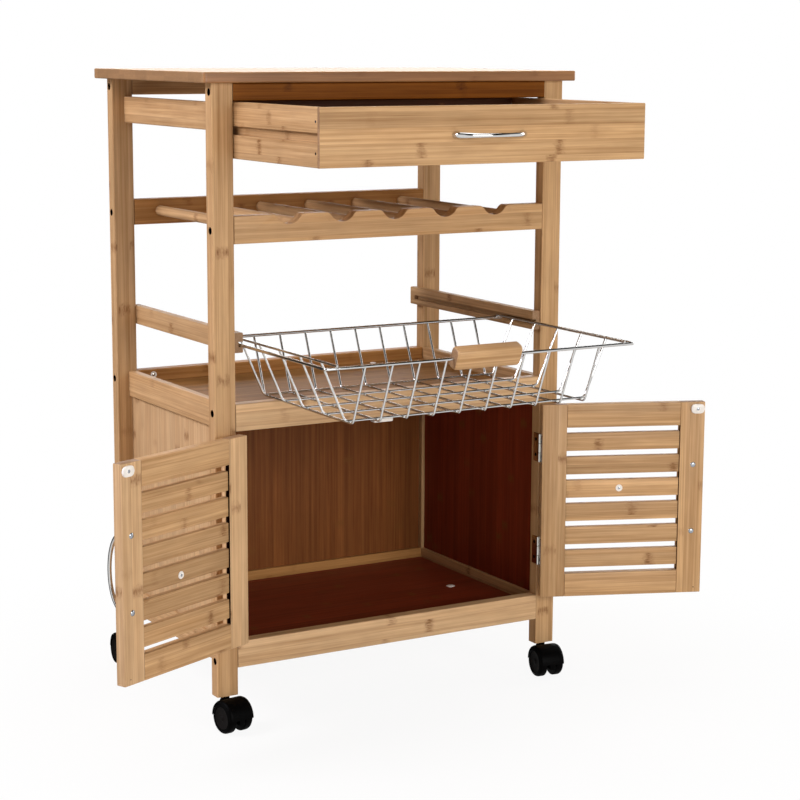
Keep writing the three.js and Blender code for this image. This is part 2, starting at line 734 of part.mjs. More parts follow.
// ---------------------------------------------------------------- casters
// Caster parts are built around the stem's axis at the height of the axle, with the axle at
// y = -trail.
// A shoulder with three flats that rounds the edge of a turned piece by the given radius.
function shoulder(radius, end, round, sign) {
  const short = round * (1 - Math.SQRT1_2);
  return [
    [radius, end - sign * round],
    [radius - short, end - sign * short],
    [radius - round, end],
  ];
}

// The hood is built with its stem on the z axis and z = 0 at the axle.
function casterHood() {
  const inner = hoodRadius - hoodWall;
  const half = hoodWidth / 2;
  const outline = [
    [0, -half],
    ...shoulder(hoodRadius, -half, hoodShoulder, -1).reverse(),
    ...shoulder(hoodRadius, half, hoodShoulder, 1),
    [0, half],
  ].map(([x, y]) => new THREE.Vector2(x, y));
  const drum = new THREE.LatheGeometry(outline, 24).rotateZ(-Math.PI / 2).translate(0, -casterTrail, 0);
  const below = block(
    [hoodWidth + 2 * overcut, 2 * (hoodRadius + overcut), hoodRadius + overcut],
    [0, -casterTrail, -(hoodRadius + overcut) / 2],
  );
  const shell = cut(drum, below);
  const disc = new THREE.Shape();
  disc.absarc(0, 0, inner + hoodWall / 2, -0.3, Math.PI + 0.3);
  disc.closePath();
  const web = new THREE.ExtrudeGeometry(disc, {
    depth: webThickness,
    bevelEnabled: false,
    curveSegments: 8,
  });
  web.translate(0, 0, -webThickness / 2).rotateX(Math.PI / 2).rotateZ(Math.PI / 2);
  web.translate(0, -casterTrail, 0);
  const collarTop = casterHeight - fitGap - wheelDiameter / 2;
  const collarBottom = hoodRadius / 4;
  const collarHeight = collarTop - collarBottom;
  const collarZ = (collarTop + collarBottom) / 2;
  const collar = roundBar(collarDiameter / 2, collarHeight, 'z', [0, 0, collarZ], 12);
  const stemZ = collarTop + (stemLength - fitGap) / 2;
  const stem = roundBar(stemDiameter / 2, stemLength + fitGap, 'z', [0, 0, stemZ], 10);
  const holeRadius = axleDiameter / 2 + 2 * fitGap;
  const axleHole = roundBar(holeRadius, hoodWidth + 2 * overcut, 'x', [0, -casterTrail, 0], 8);
  const wheelRoom = (hoodWidth - webThickness) / 2 + overcut;
  const rooms = sides.map(([, sign]) => roundBar(
    inner,
    wheelRoom,
    'x',
    [sign * (webThickness + wheelRoom) / 2, -casterTrail, 0],
    16,
  ));
  return cut(join(shell, web, collar, stem), axleHole, ...rooms);
}

function casterWheels() {
  const radius = wheelDiameter / 2;
  const half = wheelWidth / 2;
  const rimInner = radius - wheelShoulder - wheelDish / 2;
  const outline = [
    [0, -half],
    [radius - tyreRound, -half],
    [radius, -half + tyreRound],
    ...shoulder(radius, half, wheelShoulder, 1),
    [rimInner, half],
    [rimInner - wheelDish / 2, half - wheelDish],
    [0, half - wheelDish],
  ].map(([x, y]) => new THREE.Vector2(x, y));
  const pieces = sides.map(([, sign]) => new THREE.LatheGeometry(outline, 16)
    .rotateZ(-sign * Math.PI / 2)
    .translate(sign * wheelSpacing / 2, -casterTrail, 0));
  return join(...pieces, roundBar(axleDiameter / 2, wheelSpacing, 'x', [0, -casterTrail, 0], 8));
}

function buildCasters() {
  for (const [end, endSign] of ends) {
    for (const [side, sideSign] of sides) {
      const caster = new THREE.Group();
      place(caster, `caster_hood_${end}_${side}`, casterHood(), finishes.blackPlastic);
      place(caster, `caster_wheels_${end}_${side}`, casterWheels(), finishes.blackPlastic);
      caster.position.set(sideSign * postX, endSign * postY, wheelDiameter / 2);
      caster.rotation.z = THREE.MathUtils.degToRad(casterYaw[`${end}_${side}`]);
      cart.add(caster);
    }
  }
}

buildTop();
buildPosts();
buildRails();
buildPanels();
buildWineRack();
buildDrawer();
buildBasket();
buildDoors();
buildCasters();

// The origin is the middle of the base of the whole cart as it is posed.
cart.updateMatrixWorld(true);
const bounds = new THREE.Box3().setFromObject(cart, true);
cart.position.set(-(bounds.min.x + bounds.max.x) / 2, -(bounds.min.y + bounds.max.y) / 2, -bounds.min.z);

export default cart;
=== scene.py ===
"""Looks of a bamboo kitchen trolley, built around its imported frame.

Lengths are in metres unless a name ends in _mm. Each class below is one sub-assembly of the cart:
it holds its own sizes and builds and dresses its own pieces.
"""

import json
import logging
import math
from collections.abc import Callable, Iterable, Sequence
from dataclasses import dataclass
from enum import Enum
from functools import cache, partial

import bmesh
import bpy
from mathutils import Matrix, Vector


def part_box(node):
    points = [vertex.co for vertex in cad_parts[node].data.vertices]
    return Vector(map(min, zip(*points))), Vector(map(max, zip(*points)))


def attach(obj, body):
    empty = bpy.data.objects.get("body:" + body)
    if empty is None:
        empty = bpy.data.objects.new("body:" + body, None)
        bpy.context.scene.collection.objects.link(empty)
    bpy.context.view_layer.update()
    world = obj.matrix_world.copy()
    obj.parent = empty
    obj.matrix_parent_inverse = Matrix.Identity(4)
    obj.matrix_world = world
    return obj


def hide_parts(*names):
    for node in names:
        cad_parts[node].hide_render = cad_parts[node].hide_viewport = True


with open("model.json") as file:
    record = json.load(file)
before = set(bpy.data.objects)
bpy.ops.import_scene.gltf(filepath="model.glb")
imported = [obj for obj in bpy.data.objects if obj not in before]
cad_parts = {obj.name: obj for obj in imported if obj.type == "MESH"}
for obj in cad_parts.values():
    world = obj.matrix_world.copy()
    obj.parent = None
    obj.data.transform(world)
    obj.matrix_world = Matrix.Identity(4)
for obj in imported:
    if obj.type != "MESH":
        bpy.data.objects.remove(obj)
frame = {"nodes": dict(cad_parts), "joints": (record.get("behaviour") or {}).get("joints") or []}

LOG = logging.getLogger("cart")
MM = 0.001
SIDES = {"left": -1, "right": 1}
ENDS = {"front": -1, "back": 1}
RIGHT, BACK, UP = Vector((1, 0, 0)), Vector((0, 1, 0)), Vector((0, 0, 1))
WHITE = (1, 1, 1, 1)
# From how much a surface faces along an axis, 1 being straight, it counts as facing there.
HALF_FACING, CROSS_FACING, END_FACING = 0.5, 0.7, 0.8
# Edges that turn by more than this stay sharp on most pieces, and on pieces that are round all over.
CREASE_DEG, ROUND_CREASE_DEG = 32.0, 50.0

Node = bpy.types.Node
AddNode = Callable[..., Node]
Pair = tuple[float, float]


class Axis(Enum):
    """The direction in which a board's fibres run."""

    X = 0
    Y = 1
    Z = 2


class Slot(Enum):
    """The record's material slots."""

    BAMBOO = "bamboo"
    CHROME = "chrome"
    STEEL = "hinge_steel"
    NYLON = "black_plastic"


# ---------------- shader helpers
def linear(code: str) -> tuple[float, ...]:
    """Turns an sRGB hex code into linear colour.

    Args:
        code: Six hex digits after a hash sign.

    Returns:
        Red, green, blue and an alpha of 1.
    """
    parts = [int(code[i : i + 2], 16) / 255 for i in (1, 3, 5)]
    values = [p / 12.92 if p <= 0.04045 else ((p + 0.055) / 1.055) ** 2.4 for p in parts]
    return (*values, 1.0)


def add_node(tree: bpy.types.NodeTree, kind: str, inputs: dict | None = None, **settings: object) -> Node:
    """Adds one shader node with its settings, values and links.

    Args:
        tree: The node tree that gets the node.
        kind: The node's type name, without the "ShaderNode" that they all start with.
        inputs: A value, an output socket or a node for each input, by name or number. A node
            gives its first output in use.
        **settings: Attributes of the node.

    Returns:
        The new node.
    """
    node = tree.nodes.new("ShaderNode" + kind)
    for name, value in settings.items():
        setattr(node, name, value)
    for key, value in (inputs or {}).items():
        if isinstance(value, Node):
            value = next(output for output in value.outputs if output.enabled)
        if isinstance(value, bpy.types.NodeSocket):
            tree.links.new(value, node.inputs[key])
        else:
            node.inputs[key].default_value = value
    return node


def emptied(owner: bpy.types.Material | bpy.types.World) -> AddNode:
    """Empties the nodes of a material or a world.

    Args:
        owner: The material or the world.

    Returns:
        The function that adds a node to it.
    """
    owner.use_nodes = True
    owner.node_tree.nodes.clear()
    return partial(add_node, owner.node_tree)


# ---------------- finishes
@dataclass(frozen=True)
class Finish:
    """A surface and how it was made, drawn by procedural nodes alone."""

    name: str

    def draw(self, add: AddNode) -> None:
        """Adds the nodes."""
        raise NotImplementedError

    @cache
    def build(self) -> bpy.types.Material:
        """Builds the material once.

        Returns:
            The material.
        """
        material = bpy.data.materials.new(self.name)
        self.draw(emptied(material))
        return material


@dataclass(frozen=True)
class LacqueredBamboo(Finish):
    """Bamboo boards glued from flat strips, planed, sanded and sealed with satin lacquer.

    The strips give bands of slightly different tone, the fibres fine short lines along the grain,
    and the culm's joints a ragged dark bar of small dashes across each strip. The cut ends are
    greyer and dotted. A pair in _mm is a mark's length along the grain and its width across it.
    """

    grain: Axis
    pale: str = "#d2ab7c"
    deep: str = "#a2784a"
    joint: str = "#774a20"
    end: str = "#a08060"
    veneer_side: tuple[int, int, int] = (0, 0, 0)  # where a side with another veneer faces
    veneer: tuple[str, str] = ("#8a5429", "#653413")
    strip_mm: float = 18.5
    strip_offset_mm: float = 4.3
    strip_shift: float = 9.0  # more than the longest board
    strip_spread: Pair = (0.85, 1.05)
    board_spread: Pair = (0.95, 1.03)
    patch_spread: Pair = (0.92, 1.06)
    seam_mm: float = 0.5
    seam_depth: float = 0.28
    fibre_mm: Pair = (75.0, 1.1)  # a real fibre is about 0.3 mm thick, too fine to show
    streak_mm: Pair = (340.0, 5.0)
    streak_share: float = 0.6
    mottle_mm: Pair = (60.0, 22.0)
    pore_mm: Pair = (30.0, 1.3)
    dash_mm: Pair = (9.0, 1.2)
    ragged_mm: Pair = (8.0, 6.0)
    joint_pitch_mm: float = 235.0
    joint_length_mm: float = 13.0
    # How far a bar's edge wanders, and from where to where it fades, in lengths of the bar.
    joint_wander: float = 1.4
    joint_fade: Pair = (0.6, 1.5)
    roughness: float = 0.4
    roughness_spread: float = 0.14
    specular: float = 0.3
    coat: float = 0.0
    coat_roughness: float = 0.2
    relief_mm: float = 0.06
    slot: Slot = Slot.BAMBOO

    def stretch(self, length_mm: float, width_mm: float) -> tuple[float, ...]:
        """Gives the scale of a pattern, by its length along the grain and its width across it."""
        return tuple(1 / ((length_mm if axis is self.grain else width_mm) * MM) for axis in Axis)

    def marks(self, add: AddNode, place: Node, size_mm: Pair, detail: float = 3.0) -> Node:
        """Draws one layer of irregular marks that follow the grain.

        Args:
            add: Adds a node.
            place: Where on the board, in metres.
            size_mm: The marks' length and width.
            detail: How many finer layers they carry.

        Returns:
            The marks, from 0 to 1 and mostly near 0.5.
        """
        scaled = add("Mapping", {"Vector": place, "Scale": self.stretch(*size_mm)})
        return add("TexNoise", {"Vector": scaled, "Scale": 1.0, "Detail": detail, "Roughness": 0.6})

    def seams(self, add: AddNode, cells: Node, sides: Sequence) -> Node:
        """Draws the glue lines between neighbouring strips.

        Args:
            add: Adds a node.
            cells: Where on the board, counted in strips.
            sides: How much the surface faces along each axis.

        Returns:
            The lines, 1 in their middle.
        """
        parts = add("VectorMath", {0: cells}, operation="FRACTION")
        split = add("SeparateXYZ", {0: parts}).outputs
        lines = []
        for across in (axis.value for axis in Axis if axis is not self.grain):
            aside = add("Math", {0: split[across], 1: 0.5}, operation="SUBTRACT")
            from_middle = add("Math", {0: aside}, operation="ABSOLUTE")
            edge = {"Value": from_middle, "From Min": 0.5 - self.seam_mm / self.strip_mm, "From Max": 0.5}
            seam = add("MapRange", edge, interpolation_type="SMOOTHSTEP")
            crosses = add("Math", {0: sides[across], 1: CROSS_FACING}, operation="LESS_THAN")
            lines.append(add("Math", {0: seam, 1: crosses}, operation="MULTIPLY"))
        return add("Math", dict(enumerate(lines)), operation="MAXIMUM")

    def culm_joints(self, add: AddNode, place: Node, strip: Node) -> Node:
        """Draws the culm's joints, at most one on each stretch of a strip.

        Args:
            add: Adds a node.
            place: Where on the board, in metres, with a shift for each strip.
            strip: The strip's number.

        Returns:
            How strongly a joint darkens the place.
        """
        along = add("SeparateXYZ", {0: place}).outputs[self.grain.value]
        stretch = add("Math", {0: along, 1: self.joint_pitch_mm * MM}, operation="DIVIDE")
        number = add("Math", {0: stretch}, operation="FLOOR")
        lot = add("TexWhiteNoise", {"Vector": strip, "W": number}, noise_dimensions="4D")
        place_lot, depth_lot, _ = add("SeparateXYZ", {0: lot.outputs["Color"]}).outputs
        middle = add("MapRange", {"Value": place_lot, "To Min": 0.2, "To Max": 0.8})
        part = add("Math", {0: stretch}, operation="FRACT")
        offset = add("Math", {0: part, 1: middle}, operation="SUBTRACT")
        distance = add("Math", {0: offset}, operation="ABSOLUTE")
        ragged = self.marks(add, place, self.ragged_mm)
        length = self.joint_length_mm / self.joint_pitch_mm
        edge = add("Math", {0: ragged, 1: self.joint_wander * length, 2: distance}, operation="MULTIPLY_ADD")
        full, gone = (share * length for share in self.joint_fade)
        fade = {"Value": edge, "From Min": full, "From Max": gone, "To Min": 1.0, "To Max": 0.0}
        bar = add("MapRange", fade, interpolation_type="SMOOTHSTEP")
        dashes = self.marks(add, place, self.dash_mm)
        gaps = {"Value": dashes, "From Min": 0.35, "From Max": 0.65, "To Min": 0.35, "To Max": 1.0}
        broken = add("MapRange", gaps, interpolation_type="SMOOTHSTEP")
        depth = add("MapRange", {"Value": depth_lot, "From Min": 0.15, "From Max": 0.75, "To Max": 0.9})
        marked = add("Math", {0: bar, 1: broken}, operation="MULTIPLY")
        return add("Math", {0: marked, 1: depth}, operation="MULTIPLY")

    def tones(self, add: AddNode, normal: bpy.types.NodeSocket) -> list:
        """Gives the pale and the deep colour, which are others on the side that has a veneer.

        Args:
            add: Adds a node.
            normal: The surface's direction on the board.

        Returns:
            The pale colour and the deep one.
        """
        board = [linear(self.pale), linear(self.deep)]
        if not any(self.veneer_side):
            return board
        faces_there = add("VectorMath", {0: normal, 1: self.veneer_side}, operation="DOT_PRODUCT")
        is_veneer = add("Math", {0: faces_there, 1: HALF_FACING}, operation="GREATER_THAN")
        pairs = zip(board, map(linear, self.veneer))
        return [add("Mix", {"Factor": is_veneer, 6: bare, 7: over}, data_type="RGBA") for bare, over in pairs]

    def draw(self, add: AddNode) -> None:
        """Draws the bamboo.

        Args:
            add: Adds a node.
        """
        spot = add("TexCoord").outputs
        board = add("ObjectInfo").outputs["Random"]
        faces = add("VectorMath", {0: spot["Normal"]}, operation="ABSOLUTE")
        sides = add("SeparateXYZ", {0: faces}).outputs
        start = [self.strip_offset_mm / self.strip_mm] * 3
        count = {0: spot["Object"], 1: self.stretch(math.inf, self.strip_mm), 2: start}
        cells = add("VectorMath", count, operation="MULTIPLY_ADD")
        strip = add("VectorMath", {0: cells}, operation="FLOOR")
        lot = add("TexWhiteNoise", {"Vector": strip, "W": board}, noise_dimensions="4D").outputs["Color"]
        strip_lot = add("SeparateXYZ", {0: lot}).outputs[1]
        # Each strip was cut from another culm, so its pattern starts elsewhere.
        shift = {0: lot, 1: [self.strip_shift] * 3, 2: spot["Object"]}
        place = add("VectorMath", shift, operation="MULTIPLY_ADD")
        seam = self.seams(add, cells, sides)
        joint = self.culm_joints(add, place, strip)
        fibres = self.marks(add, place, self.fibre_mm)
        streaks = self.marks(add, place, self.streak_mm, 2.0)
        mottle = self.marks(add, place, self.mottle_mm, 2.0)

        pale, deep = self.tones(add, spot["Normal"])
        fine = add("MapRange", {"Value": fibres, "From Min": 0.3, "From Max": 0.7})
        broad = add("MapRange", {"Value": streaks, "From Min": 0.34, "From Max": 0.7})
        depth = add("Mix", {"Factor": self.streak_share, 2: fine, 3: broad})
        body = add("Mix", {"Factor": depth, 6: pale, 7: deep}, data_type="RGBA")
        tones = []
        for source, (low, high), limits in (
            (strip_lot, self.strip_spread, {}),
            (board, self.board_spread, {}),
            (mottle, self.patch_spread, {"From Min": 0.3, "From Max": 0.7}),
        ):
            tones.append(add("MapRange", {"Value": source, **limits, "To Min": low, "To Max": high}))
        strip_tone, board_tone, patch_tone = tones
        both = add("Math", {0: strip_tone, 1: board_tone}, operation="MULTIPLY")
        tone = add("Math", {0: both, 1: patch_tone}, operation="MULTIPLY")
        tint = add("CombineColor", {0: tone, 1: tone, 2: tone})
        toned = add("Mix", {"Factor": 1.0, 6: body, 7: tint}, data_type="RGBA", blend_type="MULTIPLY")
        dark = linear(self.joint)
        jointed = add("Mix", {"Factor": joint, 6: toned, 7: dark}, data_type="RGBA")
        faint = add("Math", {0: seam, 1: self.seam_depth}, operation="MULTIPLY")
        long_faces = add("Mix", {"Factor": faint, 6: jointed, 7: dark}, data_type="RGBA")

        # The cut ends show the fibres as dots, and each strip as a block of its own tone.
        pores = self.marks(add, place, self.pore_mm)
        limits = {"From Min": 0.38, "From Max": 0.66, "To Min": 0.0, "To Max": 0.5}
        dots = add("MapRange", {"Value": pores, **limits})
        grey = {"Factor": 1.0, 6: linear(self.end), 7: tint}
        block = add("Mix", grey, data_type="RGBA", blend_type="MULTIPLY")
        cut = add("Mix", {"Factor": dots, 6: block, 7: dark}, data_type="RGBA")
        is_end = add("Math", {0: sides[self.grain.value], 1: END_FACING}, operation="GREATER_THAN")
        colour = add("Mix", {"Factor": is_end, 6: long_faces, 7: cut}, data_type="RGBA")

        height = add("Math", {0: fibres, 1: seam}, operation="SUBTRACT")
        relief = add("Bump", {"Height": height, "Strength": 0.4, "Distance": self.relief_mm * MM})
        limits = {"To Min": self.roughness, "To Max": self.roughness + self.roughness_spread}
        rough = add("MapRange", {"Value": fibres, "From Min": 0.2, "From Max": 0.8, **limits})
        surface = {"Base Color": colour, "Roughness": rough, "Normal": relief, "IOR": 1.48}
        lacquer = {"Coat Weight": self.coat, "Coat Roughness": self.coat_roughness}
        shader = add("BsdfPrincipled", {**surface, "Specular IOR Level": self.specular, **lacquer})
        add("OutputMaterial", {"Surface": shader})


@dataclass(frozen=True)
class GrainedFinish(Finish):
    """A surface whose tone, gloss and height waver by a fine grain."""

    colour: str
    shade: str
    roughness: float

    def put_out(self, add: AddNode, wear: Node, gloss: Pair, inputs: dict) -> None:
        """Mixes the two tones and the roughness by the wear, and puts the surface out.

        Args:
            add: Adds a node.
            wear: How worn the place is.
            gloss: The roughness where the wear is 0 and where it is 1.
            inputs: The shader's other inputs.
        """
        tones = {6: linear(self.colour), 7: linear(self.shade)}
        colour = add("Mix", {"Factor": wear, **tones}, data_type="RGBA")
        rough = add("MapRange", {"Value": wear, "To Min": gloss[0], "To Max": gloss[1]})
        shader = add("BsdfPrincipled", {"Base Color": colour, "Roughness": rough, **inputs})
        add("OutputMaterial", {"Surface": shader})


@dataclass(frozen=True)
class FinishedMetal(GrainedFinish):
    """A metal whose surface is plated, brushed or blackened.

    Fine noise breaks the gloss up, so that the reflections waver as on a real part.
    """

    grit_mm: float
    relief_mm: float = 0.01
    gloss_spread: Pair = (0.7, 1.4)
    slot: Slot = Slot.STEEL

    def draw(self, add: AddNode) -> None:
        """Draws the metal.

        Args:
            add: Adds a node.
        """
        place = add("TexCoord").outputs["Object"]
        scale = 1 / (self.grit_mm * MM)
        grit = add("TexNoise", {"Vector": place, "Scale": scale, "Detail": 3.0, "Roughness": 0.6})
        relief = add("Bump", {"Height": grit, "Strength": 0.3, "Distance": self.relief_mm * MM})
        bright, dull = (self.roughness * spread for spread in self.gloss_spread)
        self.put_out(add, grit, (bright, dull), {"Normal": relief, "Metallic": 1.0})


@dataclass(frozen=True)
class MouldedPlastic(GrainedFinish):
    """Injection-moulded plastic with the fine sparked grain of its mould."""

    specular: float = 0.5
    grain_mm: float = 0.6
    wear_mm: float = 7.2
    relief_mm: float = 0.04
    gloss_spread: Pair = (-0.06, 0.08)
    slot: Slot = Slot.NYLON

    def draw(self, add: AddNode) -> None:
        """Draws the plastic.

        Args:
            add: Adds a node.
        """
        place = add("TexCoord").outputs["Object"]
        grain = add("TexNoise", {"Vector": place, "Scale": 1 / (self.grain_mm * MM), "Detail": 2.0})
        wear = add("TexNoise", {"Vector": place, "Scale": 1 / (self.wear_mm * MM), "Detail": 3.0})
        relief = add("Bump", {"Height": grain, "Strength": 0.4, "Distance": self.relief_mm * MM})
        bright, dull = (self.roughness + spread for spread in self.gloss_spread)
        inputs = {"Normal": relief, "Specular IOR Level": self.specular, "IOR": 1.5}
        self.put_out(add, wear, (bright, dull), inputs)


# The lacquered boards of the frame look straw-coloured with a satin gloss, one finish for each grain.
BOARD = {axis: LacqueredBamboo(f"lacquered_bamboo_{axis.name.lower()}", axis) for axis in Axis}
# Slats, each sawn from another board, look each of their own tone.
SLAT_BOARD = LacqueredBamboo("lacquered_bamboo_slat", Axis.X, board_spread=(0.86, 1.12))
# Boards sawn from the culm's paler inside look creamier than the rest of the frame.
PALE_BOARD = {
    axis: LacqueredBamboo(f"pale_lacquered_bamboo_{axis.name.lower()}", axis, "#dfbb8f", "#b48c60")
    for axis in (Axis.X, Axis.Z)
}
# Rails sawn from the culm's browner outside look warmer and darker than the frame.
BROWN_BOARD = LacqueredBamboo("brown_lacquered_bamboo_rail", Axis.X, "#bd8951", "#92602d", specular=0.15)
# A rail sawn from steamed bamboo is brown all through and looks like chestnut wood.
STEAMED_RAIL = LacqueredBamboo("steamed_bamboo_rail", Axis.X, "#8d5418", "#663608", "#3c1d08", specular=0.1)
# A groove that the router's bit has scorched looks nearly black.
SCORCHED_GROOVE = LacqueredBamboo(
    "scorched_router_cut_bamboo", Axis.Z, "#2c0f08", "#180604", "#180604", specular=0.05
)
# The worktop's planed top looks pale under a gloss coat, and its sawn edges show darker strips.
WORKTOP = LacqueredBamboo(
    "glossy_lacquered_bamboo_worktop",
    Axis.X,
    "#a37447",
    "#7a5029",
    end="#a17d57",
    veneer_side=(0, 0, 1),
    veneer=("#d2ab7c", "#b4895a"),
    coat=0.45,
    coat_roughness=0.3,
)
# Thin boards are glued from narrower strips, which gives a finer banding.
thin_board = partial(LacqueredBamboo, strip_mm=15.0, joint_pitch_mm=330.0)
# Outside, the panels look straw-coloured and matter than the frame, and inside they have a veneer of
# steamed bamboo, which looks brown.
thin_panel = partial(thin_board, pale="#cdab81", deep="#b78f63", specular=0.15)
DRAWER_PLY = thin_panel("bamboo_ply_drawer", Axis.X, veneer_side=(0, 0, 1))
BACK_PLY = thin_panel("bamboo_ply_back", Axis.Z, veneer_side=(0, -1, 0))
# The cabinet's floor and sides have a veneer that was steamed for longer, which looks reddish brown.
RED_VENEER = ("#943e25", "#6c2511")
FLOOR_PLY = thin_panel("bamboo_ply_floor", Axis.X, veneer_side=(0, 0, 1), veneer=RED_VENEER)
SIDE_PLY = {
    side: thin_panel(f"bamboo_ply_{side}", Axis.Z, veneer_side=(-sign, 0, 0), veneer=RED_VENEER)
    for side, sign in SIDES.items()
}
# The shelf was sanded but barely lacquered, so it looks tan and without gloss.
SHELF_PLY = thin_board("bamboo_ply_shelf", Axis.X, "#a07342", "#7e572d", specular=0.02)
# The drawer's back is faced with dark steamed bamboo, and looks like walnut from inside.
DRAWER_BACK = LacqueredBamboo(
    "lacquered_bamboo_drawer_back", Axis.X, veneer_side=(0, -1, 0), veneer=("#5d3517", "#3f200c")
)
# Polished and plated, it mirrors its surroundings almost sharply, in bright and black stripes.
POLISHED_CHROME = FinishedMetal(
    "polished_chrome_plate", "#dddcda", "#cccac7", 0.06, 3.0, slot=Slot.CHROME
)
# Rolled and nickel plated sheet looks silvery with soft reflections.
NICKEL_SHEET = FinishedMetal("nickel_plated_steel_sheet", "#e0ddd7", "#b9b5ae", 0.14, 0.8, 0.02)
# Zinc plating looks a little bluer and duller than chrome.
ZINC_SCREW = FinishedMetal("zinc_plated_screw_steel", "#c3c5c8", "#94979b", 0.2, 0.6, 0.02)
# Blackened steel looks like a dark dot with a dull gloss.
BLACK_BOLT = FinishedMetal("blackened_bolt_steel", "#0e0b0a", "#060505", 0.5, 0.8, 0.02)
# Nylon from a sparked mould looks black and nearly matt, and the wheels' discs a trace greyer.
BLACK_NYLON = MouldedPlastic("moulded_black_nylon", "#010101", "#030202", 0.45, 0.04)
GREY_DISC = MouldedPlastic("moulded_grey_nylon", "#0c0908", "#15110f", 0.55, 0.08)
# Acetal from a smooth mould looks milky white with a soft gloss.
WHITE_ACETAL = MouldedPlastic("moulded_white_acetal", "#f1eee8", "#e4dfd7", 0.35, slot=Slot.STEEL)


# ---------------- shape helpers
class Shape:
    """A mesh under construction."""

    def __init__(self) -> None:
        """Starts it empty."""
        self.mesh = bmesh.new()

    def add_ring(self, points: Iterable[Vector]) -> list[bmesh.types.BMVert]:
        """Adds a row of points."""
        return [self.mesh.verts.new(point) for point in points]

    def join(self, rings: Sequence[Sequence[bmesh.types.BMVert]], capped: bool = True) -> None:
        """Spans faces between neighbouring rings.

        Args:
            rings: The rings, which have equally many points each or a single one.
            capped: Whether the first and the last ring are closed with a face.
        """
        count = max(map(len, rings))
        for a, b in zip(rings, rings[1:]):
            for j in range(count):
                k = (j + 1) % count
                corners = [a[j % len(a)], a[k % len(a)], b[k % len(b)], b[j % len(b)]]
                self.mesh.faces.new(list(dict.fromkeys(corners)))
        if capped:
            self.mesh.faces.new(rings[0])
            self.mesh.faces.new(rings[-1])

    def add_board(self, low: Sequence[float], high: Sequence[float], rounding: float) -> "Shape":
        """Adds a board with rounded edges.

        Args:
            low: Its lowest corner.
            high: Its highest corner.
            rounding: The radius of its edges.

        Returns:
            The shape itself.
        """
        corners = bmesh.ops.create_cube(self.mesh, size=1.0)["verts"]
        for vertex in corners:
            vertex.co = Vector(c * (h - l) + (l + h) / 2 for c, h, l in zip(vertex.co, high, low))
        edges = dict.fromkeys(edge for vertex in corners for edge in vertex.link_edges)
        self.round_off(list(edges), rounding, 3)
        return self

    def round_off(self, edges: Sequence[bmesh.types.BMEdge], radius: float, steps: int) -> dict:
        """Rounds edges to a radius in some steps, and gives what it made."""
        settings = {"offset": radius, "segments": steps, "profile": 0.5, "affect": "EDGES"}
        return bmesh.ops.bevel(self.mesh, geom=edges, **settings)

    def add_tube(self, path: Sequence[Vector], side: Vector, section: Callable[[float], list[Pair]]) -> None:
        """Sweeps a section along a path that lies in one plane.

        Args:
            path: The points of its middle line.
            side: The normal of the path's plane.
            section: Gives the section's points, in the plane and along side, for a share of the way.
        """
        rings = []
        last = len(path) - 1
        for i, point in enumerate(path):
            before = (point - path[max(0, i - 1)]).normalized()
            after = (path[min(last, i + 1)] - point).normalized()
            forward = (before + after).normalized()
            stretch = 1 / max(forward.dot(before), forward.dot(after))
            inward = forward.cross(side) * stretch
            rings.append(self.add_ring(point + inward * a + side * b for a, b in section(i / last)))
        self.join(rings)

    def add_turned(self, profile: Sequence[Pair], place: Matrix, steps: int = 28) -> "Shape":
        """Turns a profile about the local Z axis.

        Args:
            profile: Radius and height of each point, from one end of the axis to the other.
            place: Where the turned shape goes.
            steps: How many steps the turn has.

        Returns:
            The shape itself.
        """
        rings = []
        for radius, height in profile:
            around = full_turn(steps if radius else 1)
            points = (Vector((radius * math.cos(a), radius * math.sin(a), height)) for a in around)
            rings.append(self.add_ring(place @ point for point in points))
        self.join(rings, capped=False)
        return self

    def add_plate(
        self, outline: Sequence[Vector], thickness: float, place: Matrix, rounding: float = 0.0
    ) -> "Shape":
        """Adds a plate that stands on an outline in the local XY plane.

        Args:
            outline: The plate's outline.
            thickness: Its thickness along local Z.
            place: Where it goes.
            rounding: The radius of its rims.

        Returns:
            The shape itself.
        """
        base, top = (self.add_ring((p.x, p.y, height) for p in outline) for height in (0, thickness))
        self.mesh.faces.new(base)
        self.mesh.faces.new(top)
        rims = []
        for i in range(len(base)):
            j = (i + 1) % len(base)
            self.mesh.faces.new((base[i], base[j], top[j], top[i]))
            rims += [self.mesh.edges.get((base[i], base[j])), self.mesh.edges.get((top[i], top[j]))]
        corners = base + top
        if rounding:
            made = self.round_off(rims, rounding, 2)
            corners = [v for v in corners if v.is_valid] + made["verts"]
        for vertex in dict.fromkeys(corners):
            vertex.co = place @ vertex.co
        return self

    def finished(self, name: str) -> bpy.types.Mesh:
        """Turns the shape into mesh data, and frees it.

        Args:
            name: The data's name.

        Returns:
            The mesh data.
        """
        data = bpy.data.meshes.new(name)
        self.mesh.to_mesh(data)
        self.mesh.free()
        return data


def circle(radius: float, sides: int = 12) -> Callable[[float], list[Pair]]:
    """Gives a round section of one radius for a sweep.

    Args:
        radius: The radius.
        sides: How many points the section has.

    Returns:
        The section's function.
    """
    return lambda share: [(radius * math.cos(a), radius * math.sin(a)) for a in full_turn(sides)]


def rod(radius: float, length: float, chamfer: float) -> list[Pair]:
    """Gives the profile of a turned bar with chamfered ends."""
    neck = radius - chamfer
    return [(0, 0), (neck, 0), (radius, chamfer), (radius, length - chamfer), (neck, length), (0, length)]


def full_turn(steps: int) -> list[float]:
    """Gives the angles of a full turn in equal steps."""
    return [2 * math.pi * i / steps for i in range(steps)]


def quarter(steps: int) -> list[float]:
    """Gives the angles of a quarter turn in equal steps."""
    return [math.pi / 2 * i / steps for i in range(steps + 1)]


